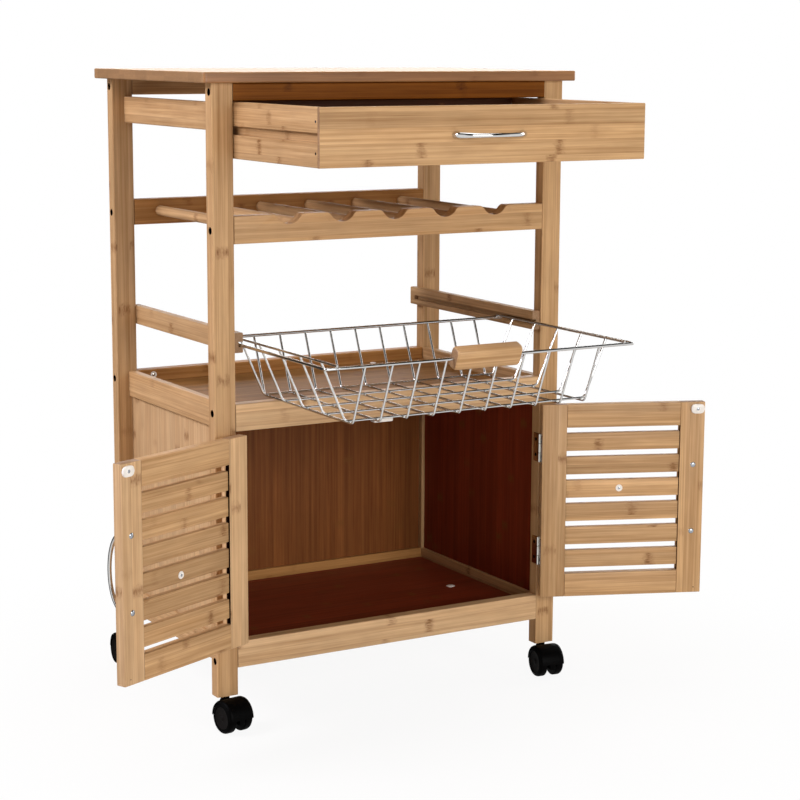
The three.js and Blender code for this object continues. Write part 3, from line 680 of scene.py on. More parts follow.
def bent(start: Vector, corner: Vector, end: Vector, shares: Iterable[float]) -> list[Vector]:
    """Gives points of the curve that leaves its start, and reaches its end, in line with the corner."""
    return [start * (1 - t) ** 2 + corner * (2 * t * (1 - t)) + end * t**2 for t in shares]


def rounded(corners: Sequence[Vector], radius: float, steps: int, closed: bool = True) -> list[Vector]:
    """Rounds the corners of a line.

    Args:
        corners: The line's points.
        radius: How far from a corner the rounding starts.
        steps: How many steps each rounding has.
        closed: Whether the line closes on itself.

    Returns:
        The rounded line's points.
    """
    count = len(corners)
    points = []
    for i, corner in enumerate(corners):
        if not closed and i in (0, count - 1):
            points.append(corner.copy())
            continue
        start = corner + (corners[i - 1] - corner).normalized() * radius
        end = corner + (corners[(i + 1) % count] - corner).normalized() * radius
        points += bent(start, corner, end, (j / steps for j in range(steps + 1)))
    return points


def rectangle(width: float, height: float) -> list[Vector]:
    """Gives the corners of a rectangle around the origin, by its size along X and along Y."""
    return [Vector((x * width / 2, y * height / 2, 0)) for x, y in ((-1, -1), (1, -1), (1, 1), (-1, 1))]


def facing(point: Sequence[float], direction: Vector) -> Matrix:
    """Gives a place whose local Z axis points one way.

    Args:
        point: The place's origin.
        direction: Where its Z axis points.

    Returns:
        The place as a matrix.
    """
    turn = direction.to_track_quat("Z", "Y").to_matrix().to_4x4()
    return Matrix.Translation(point) @ turn


def link(name: str, data: bpy.types.ID) -> bpy.types.Object:
    """Puts data into the scene as an object.

    Args:
        name: The object's name.
        data: Its data.

    Returns:
        The object.
    """
    thing = bpy.data.objects.new(name, data)
    bpy.context.scene.collection.objects.link(thing)
    return thing


def make_piece(
    name: str,
    shape: Shape,
    finish: Finish,
    body: str,
    stands_for: Sequence[str] = (),
    place: Matrix | None = None,
    crease_deg: float = CREASE_DEG,
) -> bpy.types.Object:
    """Turns a shape into a piece that rides on a body.

    Args:
        name: The piece's name.
        shape: Its shape, which is freed here.
        finish: Its finish.
        body: The body that it rides on.
        stands_for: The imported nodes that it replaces.
        place: Where the piece stands.
        crease_deg: Edges that turn by more than this stay sharp.

    Returns:
        The piece.
    """
    bmesh.ops.recalc_face_normals(shape.mesh, faces=shape.mesh.faces[:])
    data = shape.finished(name)
    data.polygons.foreach_set("use_smooth", [True] * len(data.polygons))
    data.set_sharp_from_angle(angle=math.radians(crease_deg))
    data.materials.append(finish.build())
    piece = link(name, data)
    piece.matrix_world = place or Matrix.Identity(4)
    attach(piece, body)
    if stands_for:
        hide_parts(*stands_for)
    LOG.info("made %s on %s", name, body)
    return piece


def dress(finish: Finish, *nodes: str) -> None:
    """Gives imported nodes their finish.

    Args:
        finish: Their finish.
        *nodes: The nodes' names.
    """
    for node in nodes:
        piece = frame["nodes"][node]
        if not piece.material_slots:
            piece.data.materials.append(None)
        for holder in piece.material_slots:
            holder.material = finish.build()
        LOG.info("dressed %s in %s", node, finish.name)


def middle_of(node: str) -> Vector:
    """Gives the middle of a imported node's box."""
    low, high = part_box(node)
    return (low + high) / 2


def joint_named(name: str) -> dict:
    """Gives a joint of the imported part."""
    return next(joint for joint in frame["joints"] if joint["name"] == name)


# ---------------- shared hardware
@dataclass(frozen=True)
class Screw:
    """A screw head with a cross recess, with its face at the local origin and Z outwards."""

    radius: float
    dome: float
    recess: float = 1.1 * MM
    rim: float = 1.2 * MM
    cross_depth: float = 0.12 * MM

    def add(self, shape: Shape, place: Matrix) -> None:
        """Adds the head.

        Args:
            shape: The shape that gets it.
            place: Where it goes.
        """
        r, dome, recess = self.radius, self.dome, self.recess
        profile = [(0, -recess), (0.16 * r, -0.9 * recess), (0.2 * r, dome), (0.6 * r, 0.82 * dome)]
        profile += [(0.9 * r, 0.4 * dome), (r, 0), (r, -self.rim), (0, -self.rim)]
        shape.add_turned(profile, place, 20)
        for turn in (0, math.pi / 2):
            bar = place @ Matrix.Rotation(turn, 4, "Z") @ Matrix.Translation((0, 0, 0.9 * dome))
            shape.add_plate(rounded(rectangle(0.84 * r, 0.24 * r), 0.08 * r, 2), self.cross_depth, bar)

    def make(
        self, name: str, seats: Sequence[Matrix], finish: Finish, body: str, place: Matrix | None = None
    ) -> None:
        """Makes a piece of equal screws.

        Args:
            name: The piece's name.
            seats: Where the screws sit on the piece.
            finish: Their finish.
            body: The body that they ride on.
            place: Where the piece stands.
        """
        shape = Shape()
        for seat in seats:
            self.add(shape, seat)
        make_piece(name, shape, finish, body, place=place)


HANDLE_SCREW = Screw(3.9 * MM, 1.3 * MM)
DRAWER_SCREW = Screw(3.1 * MM, 0.3 * MM)
HINGE_SCREW = Screw(2.6 * MM, 0.2 * MM)
WASHER_SCREW = Screw(2.5 * MM, 0.5 * MM)
SLAT_SCREW = Screw(2.0 * MM, 0.4 * MM)


@dataclass(frozen=True)
class BowHandle:
    """A polished bow handle, stout at its feet and slim in the middle."""

    span: float = 96 * MM
    reach: float = 25.7 * MM
    width: float = 9.6 * MM
    thickness: float = 5.0 * MM
    foot_thickness: float = 11.3 * MM
    flare: float = 15 * MM
    waist: float = 0.55
    waist_power: float = 2.5
    seat_gap: float = 0.02 * MM
    steps: int = 40
    sides: int = 20

    def section(self, pull: float, share: float) -> list[Pair]:
        """Gives the oval section at a share of the way.

        Args:
            pull: How far the curve's control points stand off.
            share: The share of the way.

        Returns:
            The section's points.
        """
        broad = self.width / 2 * (self.waist + (1 - self.waist) * abs(2 * share - 1) ** self.waist_power)
        fade = max(0.0, 1 - 3 * pull * share * (1 - share) / self.flare)
        thick = (self.thickness + (self.foot_thickness - self.thickness) * fade**2) / 2
        return [(thick * math.cos(a), broad * math.sin(a)) for a in full_turn(self.sides)]

    def make(self, name: str, body: str, node: str, place: Matrix) -> None:
        """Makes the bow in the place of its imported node.

        Args:
            name: The piece's name.
            body: The body that it rides on.
            node: The node that it replaces.
            place: Where it stands on its local XZ plane, reaching towards -Y.
        """
        half = self.span / 2
        # The middle of a cubic curve reaches three quarters as far as its control points.
        pull = (self.reach - self.thickness / 2) / 0.75
        path = []
        for i in range(self.steps + 1):
            t = i / self.steps
            x = half * (-((1 - t) ** 3) - 3 * t * (1 - t) ** 2 + 3 * t * t * (1 - t) + t**3)
            path.append(Vector((x, -3 * pull * t * (1 - t), 0)))
        shape = Shape()
        shape.add_tube(path, UP, partial(self.section, pull))
        shape.mesh.transform(place)
        make_piece(name, shape, POLISHED_CHROME, body, [node], crease_deg=ROUND_CREASE_DEG)


HANDLE = BowHandle()


# ---------------- frame
@dataclass
class Carcass:
    """The glued and bolted frame: its boards, the bolts in the posts and the catch."""

    bolt_radius: float = 4.7 * MM
    bolt_sink: float = 0.7 * MM
    bolt_inset: float = 7.4 * MM
    socket_depth: float = 2 * MM
    cup_wall: float = 0.5 * MM
    cup_depth: float = 8.1 * MM
    head_depth: float = 5.6 * MM
    shelf_bolt_rise: float = 7.4 * MM
    base_bolt_drop: float = 6.4 * MM
    washer_radius: float = 4.6 * MM
    washer_thickness: float = 0.9 * MM
    rail_screw_place: tuple[float, float, float] = (-210 * MM, -0.05 * MM, -7.7 * MM)
    rail_screw_rise: float = 0.4 * MM
    shelf_cap: tuple[float, float, float] = (145 * MM, -5.5 * MM, 4.5 * MM)  # across, back, radius
    floor_cap: tuple[float, float, float] = (183 * MM, -21 * MM, 6.5 * MM)
    catch_place: float = -5.5 * MM
    catch_width: float = 29.0 * MM
    catch_depth: float = 12.0 * MM
    catch_height: float = 10.5 * MM
    catch_sink: float = 0.3 * MM
    tab_share: float = 0.7
    tab_reach: Pair = (-2 * MM, 14 * MM)
    tab_depth: Pair = (0.3 * MM, 2.6 * MM)

    def dress_boards(self) -> None:
        """Gives every board its finish, with the grain along its length."""
        dress(BOARD[Axis.X], "top_rail_back")
        dress(BOARD[Axis.Z], *(f"post_{end}_{side}" for end in ENDS for side in SIDES))
        for side in SIDES:
            dress(BOARD[Axis.Y], f"drawer_rail_{side}", f"basket_runner_{side}")
            dress(BOARD[Axis.Y], f"shelf_rail_{side}", f"base_rail_{side}")
            dress(SIDE_PLY[side], f"side_panel_{side}")
        dress(PALE_BOARD[Axis.X], "shelf_rail_front", "base_rail_front")
        dress(BROWN_BOARD, "shelf_rail_back", "wine_rail_back", "base_rail_back")
        dress(WORKTOP, "top_board")
        dress(STEAMED_RAIL, "top_rail_front")
        dress(SHELF_PLY, "shelf_panel")
        dress(FLOOR_PLY, "base_panel")
        dress(BACK_PLY, "back_panel")

    def make_bolts(self) -> None:
        """Makes the sunk bolt heads in the outer faces of the posts."""
        r, rim, head = self.bolt_radius, self.bolt_radius + self.cup_wall, self.head_depth
        socket = head + self.socket_depth
        profile = [(0, -socket), (0.5 * r, -socket), (0.5 * r, -head), (r, -head), (r, 0)]
        profile += [(rim, 0), (rim, -self.cup_depth), (0, -self.cup_depth)]
        rows = {"top": 0.0, "wine": 0.0, "shelf": self.shelf_bolt_rise, "base": -self.base_bolt_drop}
        for end, end_sign in ENDS.items():
            for side, sign in SIDES.items():
                low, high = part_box(f"post_{end}_{side}")
                x = (high.x if sign > 0 else low.x) - sign * self.bolt_sink
                y = (high.y if end_sign > 0 else low.y) - end_sign * self.bolt_inset
                shape = Shape()
                for row, rise in rows.items():
                    z = middle_of(f"{row}_rail_front").z + rise
                    shape.add_turned(profile, facing((x, y, z), sign * RIGHT), 24)
                make_piece(f"post_bolts_{end}_{side}", shape, BLACK_BOLT, "frame")

    def make_rail_screw(self) -> None:
        """Makes the washered screw that holds the shelf's back rail."""
        low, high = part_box("shelf_rail_back")
        corner = Vector((middle_of("shelf_rail_back").x, low.y, high.z))
        place = facing(corner + Vector(self.rail_screw_place), -BACK)
        r, top = self.washer_radius, self.washer_thickness
        ring = [(0.5 * r, 0), (0.9 * r, 0), (r, 0.2 * MM), (r, top), (0.6 * r, top), (0.5 * r, 0)]
        make_piece("shelf_rail_washer", Shape().add_turned(ring, place), WHITE_ACETAL, "frame")
        seat = place @ Matrix.Translation((0, 0, self.rail_screw_rise))
        WASHER_SCREW.make("shelf_rail_screw", [seat], NICKEL_SHEET, "frame")

    def make_caps(self) -> None:
        """Makes the screw caps in the shelf and in the cabinet's floor."""
        centre_x = middle_of("shelf_rail_back").x
        rows = {
            "shelf_panel": (self.shelf_cap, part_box("shelf_rail_back")[0].y),
            "base_panel": (self.floor_cap, middle_of("base_panel").y),
        }
        caps = Shape()
        for panel, ((across, back, r), y) in rows.items():
            point = (centre_x + across, y + back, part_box(panel)[1].z)
            profile = [(0, 1.1 * MM), (0.8 * r, 1.0 * MM), (r, 0.3 * MM), (r, 0), (0, 0)]
            caps.add_turned(profile, Matrix.Translation(point))
        make_piece("panel_screw_caps", caps, WHITE_ACETAL, "frame")

    def make_catch(self) -> None:
        """Makes the magnet catch that hangs behind the shelf's front rail, and the tab that holds it."""
        low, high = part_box("shelf_rail_front")
        x = middle_of("shelf_rail_front").x + self.catch_place
        half, sink = self.catch_width / 2, self.catch_sink
        front, tab = high.y - sink, half * self.tab_share
        bottom, top = (low.z + reach for reach in self.tab_reach)
        near, far = (high.y + depth for depth in self.tab_depth)
        housing = Shape()
        upper = (x + half, front + self.catch_depth, low.z - sink)
        housing.add_board((x - half, front, low.z - self.catch_height), upper, 1.4 * MM)
        housing.add_board((x - tab, near, bottom), (x + tab, far, top), 0.9 * MM)
        make_piece("catch_housing", housing, WHITE_ACETAL, "frame")

    def build(self) -> None:
        """Builds and dresses the whole frame."""
        self.dress_boards()
        self.make_bolts()
        self.make_rail_screw()
        self.make_caps()
        self.make_catch()


# ---------------- wine rack
@dataclass
class WineRack:
    """The scalloped front rail and the dowels that the bottles lie on."""

    seats: int = 5
    scallop_width: float = 38 * MM
    scallop_depth: float = 12.6 * MM
    scallop_steps: int = 18
    soft_share: float = 0.86
    shoulder: float = 4.0 * MM
    edge_rounding: float = 0.9 * MM
    dowel_radius: float = 7 * MM
    dowel_chamfer: float = 1 * MM

    def scallop(self, middle: float, top: float) -> list[Vector]:
        """Gives the line of one scallop, from right to left, with softened shoulders.

        Args:
            middle: Where its middle stands along the rail.
            top: The height of the rail's upper edge.

        Returns:
            The line's points.
        """
        half = self.scallop_width / 2
        radius = (half**2 + self.scallop_depth**2) / (2 * self.scallop_depth)
        soft = math.asin(half / radius) * self.soft_share
        centre = Vector((middle, top - self.scallop_depth + radius, 0))
        angles = (soft - 2 * soft * i / self.scallop_steps for i in range(self.scallop_steps + 1))
        arc = [centre + radius * Vector((math.sin(angle), -math.cos(angle), 0)) for angle in angles]
        curves = []
        for edge, inner, sign in ((arc[0], arc[1], 1), (arc[-1], arc[-2], -1)):
            start = Vector((middle + sign * (half + self.shoulder), top, 0))
            slope = (edge - inner).normalized()
            bend = edge + slope * ((top - edge.y) / slope.y)
            curves.append(bent(start, bend, edge, (0, 0.25, 0.5, 0.75)))
        return curves[0] + arc + curves[1][::-1]

    def build(self) -> None:
        """Builds the rail and the dowels."""
        low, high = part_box("wine_rail_front")
        size, middle = high - low, (low + high) / 2
        bottom_left, bottom_right, top_right, top_left = rectangle(size.x, size.z)
        outline = [bottom_left, bottom_right, top_right]
        for seat in range(self.seats, 0, -1):
            outline += self.scallop(seat * size.x / (self.seats + 1) - size.x / 2, size.z / 2)
        outline.append(top_left)
        upright = Matrix.Rotation(math.pi / 2, 4, "X")
        stand = Matrix.Translation((middle.x, high.y, middle.z)) @ upright
        rail = Shape().add_plate(outline, size.y, stand, self.edge_rounding)
        make_piece("scalloped_rail", rail, BOARD[Axis.X], "frame", ["wine_rail_front"])
        for number in range(1, self.seats + 2):
            node = f"wine_dowel_{number}"
            low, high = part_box(node)
            profile = rod(self.dowel_radius, high.y - low.y, self.dowel_chamfer)
            start = ((low.x + high.x) / 2, low.y, (low.z + high.z) / 2)
            dowel = Shape().add_turned(profile, facing(start, BACK), 32)
            make_piece(f"rack_dowel_{number}", dowel, BOARD[Axis.Y], "frame", [node])


# ---------------- drawer
@dataclass
class Drawer:
    """The drawer box with its handle and screws."""

    screw_inset: float = 10 * MM
    screw_rise: float = 18.6 * MM
    screw_sink: float = 0.25 * MM

    def build(self) -> None:
        """Builds and dresses the drawer."""
        dress(BOARD[Axis.X], "drawer_front")
        dress(DRAWER_PLY, "drawer_bottom")
        dress(DRAWER_BACK, "drawer_back")
        dress(BOARD[Axis.Y], *(f"drawer_side_{side}" for side in SIDES))
        low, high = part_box("drawer_front")
        middle = (low + high) / 2
        place = Matrix.Translation((middle.x, low.y - HANDLE.seat_gap, middle.z))
        HANDLE.make("drawer_bow", "drawer", "drawer_handle", place)
        feet = (middle.x - HANDLE.span / 2, middle.x + HANDLE.span / 2)
        seats = [facing((x, high.y, middle.z), BACK) for x in feet]
        HANDLE_SCREW.make("drawer_handle_screws", seats, ZINC_SCREW, "drawer")
        for side, sign in SIDES.items():
            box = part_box(f"drawer_side_{side}")
            x = (box[1].x if sign > 0 else box[0].x) - sign * self.screw_sink
            for level, rise, finish in (("upper", 1, ZINC_SCREW), ("lower", -1, BLACK_BOLT)):
                point = (x, low.y + self.screw_inset, middle.z + rise * self.screw_rise)
                seats = [facing(point, sign * RIGHT)]
                DRAWER_SCREW.make(f"drawer_screw_{side}_{level}", seats, finish, "drawer")


# ---------------- basket
@dataclass
class Basket:
    """The welded wire basket and the wooden grip on its front rim."""

    length: float = 300 * MM
    width: float = 452 * MM
    rim_radius: float = 2 * MM
    rim_bend: float = 4 * MM
    wire_radius: float = 1.5 * MM
    guide_spacing: float = 15 * MM
    guide_rise: float = 3 * MM
    floor_rise: float = 75.3 * MM
    box_share: float = 0.95
    weld_sink: float = 0.5 * MM
    cross_wires: tuple[int, float] = (5, 55 * MM)  # how many, and how far apart
    length_wires: tuple[int, float] = (10, 38.2 * MM)
    inset_side: float = 33 * MM
    inset_end: float = 31 * MM
    bend: float = 5 * MM
    bend_steps: int = 5
    grip_length: float = 95.6 * MM
    grip_height: float = 28.6 * MM
    grip_thickness: float = 17.6 * MM
    grip_round: float = 4.5 * MM
    grip_crown: float = 1.6 * MM
    grip_chamfer: float = 3.5 * MM
    grip_crease_deg: float = 40.0

    def __post_init__(self) -> None:
        """Finds the middle of the rim."""
        low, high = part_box("wire_basket")
        middle = (low + high) / 2
        z = high.z - self.guide_rise - self.wire_radius * self.box_share
        self.origin = Vector((middle.x, middle.y, z))

    def make_wires(self, name: str, shape: Shape, paths: Sequence[Sequence[Vector]], side: Vector) -> None:
        """Makes a piece with wires along paths.

        Args:
            name: The piece's name.
            shape: What the piece already has.
            paths: The wires' corners, from the middle of the rim.
            side: The normal of the planes that they lie in.
        """
        for path in paths:
            line = [self.origin + point for point in path]
            if len(line) > 2:
                line = rounded(line, self.bend, self.bend_steps, False)
            shape.add_tube(line, side, circle(self.wire_radius))
        make_piece(
            f"basket_{name}", shape, POLISHED_CHROME, "basket", ["wire_basket"], crease_deg=ROUND_CREASE_DEG
        )

    def make_mesh(self) -> None:
        """Makes the rim with its guides, the cross wires and the length wires."""
        end, guide, rise = self.length / 2, self.width / 2 - self.guide_spacing, self.guide_rise
        rim = Shape()
        corners = [self.origin + corner for corner in rectangle(self.width, self.length)]
        loop = rounded(corners, self.rim_bend, self.bend_steps)
        rim.add_tube([*loop, loop[0]], UP, circle(self.rim_radius, 14))
        reach = end + self.wire_radius
        guides = [[Vector((sign * guide, y, rise)) for y in (-reach, reach)] for sign in (-1, 1)]
        self.make_wires("rim", rim, guides, RIGHT)

        low = -self.floor_rise
        high = low + 2 * self.wire_radius - self.weld_sink
        foot = guide - self.inset_side
        line = ((-guide, rise), (-foot, high), (foot, high), (guide, rise))
        paths = [[Vector((x, y, z)) for x, z in line] for y in self.row(*self.cross_wires)]
        self.make_wires("cross_wires", Shape(), paths, BACK)
        foot = end - self.inset_end
        line = ((-end, 0), (-foot, low), (foot, low), (end, 0))
        paths = [[Vector((x, y, z)) for y, z in line] for x in self.row(*self.length_wires)]
        self.make_wires("length_wires", Shape(), paths, RIGHT)

    @staticmethod
    def row(count: int, pitch: float) -> list[float]:
        """Gives places in a row around 0, by their count and their pitch."""
        return [(i - (count - 1) / 2) * pitch for i in range(count)]

    def make_grip(self) -> None:
        """Makes the grip, which leans with the front wall."""
        lean = math.atan2(self.inset_end, self.floor_rise)
        seat = Vector((middle_of("basket_grip").x, self.origin.y - self.length / 2, self.origin.z))
        place = Matrix.Translation(seat) @ Matrix.Rotation(lean, 4, "X")
        half, chamfer = self.grip_length / 2, self.grip_chamfer
        soft, inset = 0.3 * chamfer, 0.35 * chamfer
        shape = Shape()
        end = [(-half, chamfer), (soft - half, inset), (chamfer - half, 0)]
        rows = [*end, (0, 0), *((-x, smaller) for x, smaller in reversed(end))]
        shape.join([self.grip_ring(shape, x, smaller) for x, smaller in rows])
        nodes = ["basket_grip"]
        make_piece("basket_handle", shape, BOARD[Axis.X], "basket", nodes, place, self.grip_crease_deg)

    def grip_ring(self, shape: Shape, x: float, inset: float) -> list[bmesh.types.BMVert]:
        """Adds the grip's section at one place along it: flat, with soft corners and a crowned front.

        Args:
            shape: The shape that gets the points.
            x: Where the section stands.
            inset: How much smaller it is all round.

        Returns:
            Its points.
        """
        depth, height = self.grip_thickness / 2 - inset * 0.5, self.grip_height / 2 - inset
        r = self.grip_round
        points = []
        for turn, (a, b) in enumerate(((1, 1), (-1, 1), (-1, -1), (1, -1))):
            for angle in quarter(6):
                y = a * (depth - r) + r * math.cos(turn * math.pi / 2 + angle)
                z = b * (height - r) + r * math.sin(turn * math.pi / 2 + angle)
                crown = self.grip_crown * (abs(z) / height) ** 2 if y < 0 else 0.0
                points.append((x, y + crown, z))
        return shape.add_ring(points)

    def build(self) -> None:
        """Builds the basket."""
        self.make_mesh()
        self.make_grip()


# ---------------- doors
@dataclass
class Door:
    """One slatted door with its handle, plate and hinges.

    Its pieces are made shut, with the hinge's axis as their local Z, and then swung open.
    """

    side: str
    pale_stiles: bool = False
    plate_inset: float = 11 * MM
    screw_slat: int = 3  # the slat with the washered screw, from the top
    washer_shift: Pair = (0.0, 0.0)
    width: float = 233 * MM
    height: float = 275.6 * MM
    thickness: float = 14 * MM
    standoff: float = 2.8 * MM
    stile: float = 35 * MM
    rail: float = 33 * MM
    slats: int = 6
    slat_height: float = 25.2 * MM
    slat_thickness: float = 9.4 * MM
    rounding: float = 0.9 * MM
    cut_rounding: float = 0.1 * MM
    seam: float = 0.1 * MM
    groove_depth: float = 6 * MM
    groove_place: Pair = (7.2 * MM, 13.2 * MM)
    groove_overcut: float = 2 * MM
    hinge_gap: float = 0.5 * MM
    hinge_offset: float = 74 * MM
    hinge_height: float = 40.4 * MM
    hinge_screw_offset: float = 11 * MM
    mortise_gap: float = 0.3 * MM
    mortise_overcut: float = 5 * MM
    leaf_depth: float = 13 * MM
    leaf_gap: float = 0.3 * MM
    leaf_thickness: float = 1.2 * MM
    leaf_screw_share: float = 0.55
    barrel: float = 2.4 * MM
    barrel_chamfer: float = 0.35 * MM
    wrap_reach: float = 1.5 * MM
    handle_inset: float = 15.5 * MM
    plate_size: Pair = (19 * MM, 13 * MM)
    plate_corner: float = 5.5 * MM
    plate_drop: float = 9.5 * MM
    plate_thickness: float = 3.2 * MM
    plate_screw_sink: float = 0.1 * MM
    pilot_place: Pair = (10 * MM, 7.5 * MM)
    pilot_sink: float = 0.3 * MM

    def __post_init__(self) -> None:
        """Works out where the door and its slats stand."""
        hinge = joint_named(f"door_{self.side}_hinge")
        self.sign = SIDES[self.side]
        self.body = f"door_{self.side}"
        turn = Matrix.Rotation(self.sign * math.radians(-hinge["range_deg"][0]), 4, "Z")
        self.shut = Matrix.Translation(hinge["pos_m"])
        self.place = self.shut @ turn
        self.inner = self.standoff + self.thickness
        self.middle = self.standoff + self.thickness / 2
        opening = self.height - 2 * self.rail
        pitch = (opening + self.slat_height) / (self.slats + 1)
        # The lower edge of each slat, from the top one to the lowest.
        self.slat_edges = [opening / 2 - (i + 1) * pitch for i in range(self.slats)]

    def from_hinge(self, distance: float) -> float:
        """Gives the local X of a point at a distance from the door's hinge edge."""
        return -self.sign * (self.hinge_gap + distance)

    def piece(self, name: str, shape: Shape, finish: Finish, nodes: Sequence[str] = ()) -> bpy.types.Object:
        """Makes a piece that swings with the door."""
        return make_piece(f"{self.body}_{name}", shape, finish, self.body, nodes, self.place)

    def span(self, shape: Shape, across: Pair, depth: Pair, upwards: Pair, rounding: float) -> Shape:
        """Adds a board between limits.

        Args:
            shape: The shape that gets it.
            across: Where it starts and ends, from the hinge edge.
            depth: Its front and its back.
            upwards: Its lower and upper edge.
            rounding: The radius of its edges.

        Returns:
            The shape.
        """
        near, far = sorted(map(self.from_hinge, across))
        return shape.add_board((near, depth[0], upwards[0]), (far, depth[1], upwards[1]), rounding)

    def board(self, name: str, across: Pair, upwards: Pair, depth: float, finish: Finish) -> bpy.types.Object:
        """Makes one board of the door.

        Args:
            name: What the board is.
            across: Where it starts and ends, from the hinge edge.
            upwards: Its lower and upper edge.
            depth: Its thickness.
            finish: Its finish.

        Returns:
            The board.
        """
        limits = (self.middle - depth / 2, self.middle + depth / 2)
        shape = self.span(Shape(), across, limits, upwards, self.rounding)
        return self.piece(name, shape, finish, [self.body])

    def make_boards(self) -> None:
        """Makes the stiles, the rails and the slats."""
        top, stile, width = self.height / 2, self.stile, self.width
        finish = (PALE_BOARD if self.pale_stiles else BOARD)[Axis.Z]
        hinge_stile = self.board("hinge_stile", (0.0, stile), (-top, top), self.thickness, finish)
        free_stile = self.board("free_stile", (width - stile, width), (-top, top), self.thickness, finish)
        self.cut_out(hinge_stile, self.mortises(), NICKEL_SHEET)
        self.cut_out(hinge_stile, self.groove(stile, -1), SCORCHED_GROOVE)
        self.cut_out(free_stile, self.groove(width - stile, 1), SCORCHED_GROOVE)
        between = (stile + self.seam, width - stile - self.seam)
        self.board("top_rail", between, (top - self.rail, top), self.thickness, BOARD[Axis.X])
        self.board("bottom_rail", between, (-top, self.rail - top), self.thickness, BOARD[Axis.X])
        for number, low in enumerate(self.slat_edges, 1):
            limits = (low, low + self.slat_height)
            self.board(f"slat_{number}", between, limits, self.slat_thickness, SLAT_BOARD)

    def mortises(self) -> Shape:
        """Gives the seats of the hinge leaves in the edge of the hinge stile.

        Returns:
            The seats as a solid.
        """
        recess = self.leaf_thickness + self.mortise_gap
        half = self.hinge_height / 2 + self.mortise_gap
        depth = (self.standoff - self.mortise_overcut, self.standoff + self.leaf_depth + self.mortise_gap)
        shape = Shape()
        for rise in (-self.hinge_offset, self.hinge_offset):
            self.span(shape, (-recess, recess), depth, (rise - half, rise + half), self.cut_rounding)
        return shape

    def groove(self, edge: float, way: int) -> Shape:
        """Gives the groove along a stile's inner edge, which takes the slats' tongues.

        Args:
            edge: Where that edge stands, from the hinge edge.
            way: 1 where the wood lies on the free side of the edge and -1 where it lies on the hinge side.

        Returns:
            The groove as a solid.
        """
        half = self.height / 2 - self.rail
        across = (edge - way * self.groove_overcut, edge + way * self.groove_depth)
        start, end = self.groove_place
        depth = (self.standoff + start, self.standoff + end)
        return self.span(Shape(), across, depth, (-half, half), self.cut_rounding)

    def cut_out(self, board: bpy.types.Object, shape: Shape, finish: Finish) -> None:
        """Cuts a shape out of a board.

        Args:
            board: The board.
            shape: What is cut out, in the shut door's frame.
            finish: The finish of the cut.
        """
        data = shape.finished("cutter")
        data.materials.append(finish.build())
        cutter = link("cutter", data)
        cutter.matrix_world = self.place
        bpy.context.view_layer.update()
        modifier = board.modifiers.new("cut", "BOOLEAN")
        modifier.object = cutter
        modifier.solver = "EXACT"
        modifier.material_mode = "TRANSFER"
        evaluated = board.evaluated_get(bpy.context.evaluated_depsgraph_get())
        result = bpy.data.meshes.new_from_object(evaluated)
        board.modifiers.clear()
        board.data = result
        bpy.data.objects.remove(cutter)

    def make_handle(self) -> None:
        """Makes the handle and its screws."""
        x = self.from_hinge(self.width - self.handle_inset)
        stand = self.place @ Matrix.Translation((x, self.standoff - HANDLE.seat_gap, 0))
        upright = stand @ Matrix.Rotation(math.pi / 2, 4, "Y")
        HANDLE.make(f"{self.body}_bow", self.body, f"{self.body}_handle", upright)
        seats = [facing((x, self.inner, z), BACK) for z in (-HANDLE.span / 2, HANDLE.span / 2)]
        HANDLE_SCREW.make(f"{self.body}_handle_screws", seats, ZINC_SCREW, self.body, self.place)

    def make_fittings(self) -> None:
        """Makes the strike plate, the washer on a slat, their screws and the pilot hole."""
        top = self.height / 2
        plate_x = self.from_hinge(self.width - self.plate_inset)
        seat = facing((plate_x, self.inner, top - self.plate_drop), BACK)
        outline = rounded(rectangle(*self.plate_size), self.plate_corner, 6)
        plate = Shape().add_plate(outline, self.plate_thickness, seat, self.rounding)
        self.piece("strike_plate", plate, WHITE_ACETAL)
        screws = Shape()
        sunk = self.plate_thickness - self.plate_screw_sink
        WASHER_SCREW.add(screws, seat @ Matrix.Translation((0, 0, sunk)))

        outwards, up = self.washer_shift
        slat_z = self.slat_edges[self.screw_slat - 1] + self.slat_height / 2 + up
        slat_x = self.from_hinge(self.width / 2 + outwards)
        on_slat = facing((slat_x, self.middle + self.slat_thickness / 2, slat_z), BACK)
        ring = [(0, 0), (4.7 * MM, 0), (5.0 * MM, 0.4 * MM), (4.6 * MM, 1.1 * MM), (0, 1.2 * MM)]
        self.piece("washer", Shape().add_turned(ring, on_slat), WHITE_ACETAL)
        SLAT_SCREW.add(screws, on_slat @ Matrix.Translation((0, 0, 1.1 * MM)))
        self.piece("small_screws", screws, ZINC_SCREW)

        across, rise = self.pilot_place
        hole = (self.from_hinge(self.width - across), self.inner - self.pilot_sink, rise - top)
        profile = [(0, 0.35 * MM), (0.8 * MM, 0.35 * MM), (0.9 * MM, 0), (0, 0)]
        self.piece("pilot_hole", Shape().add_turned(profile, facing(hole, BACK), 16), BLACK_BOLT)

    def make_leaf(self, level: str, rise: float, owner: str) -> None:
        """Makes one hinge leaf with its knuckles and screws.

        Args:
            level: Upper or lower.
            rise: Its height over the door's middle.
            owner: What it is screwed to, the post or the door.
        """
        on_post = owner == "post"
        way = self.sign if on_post else -self.sign
        body, place = ("frame", self.shut) if on_post else (self.body, self.place)
        start, depth = self.standoff + self.leaf_gap, self.leaf_depth - self.leaf_gap
        outline = rounded(rectangle(depth, self.hinge_height), 2 * MM, 5)
        x = way * self.hinge_gap
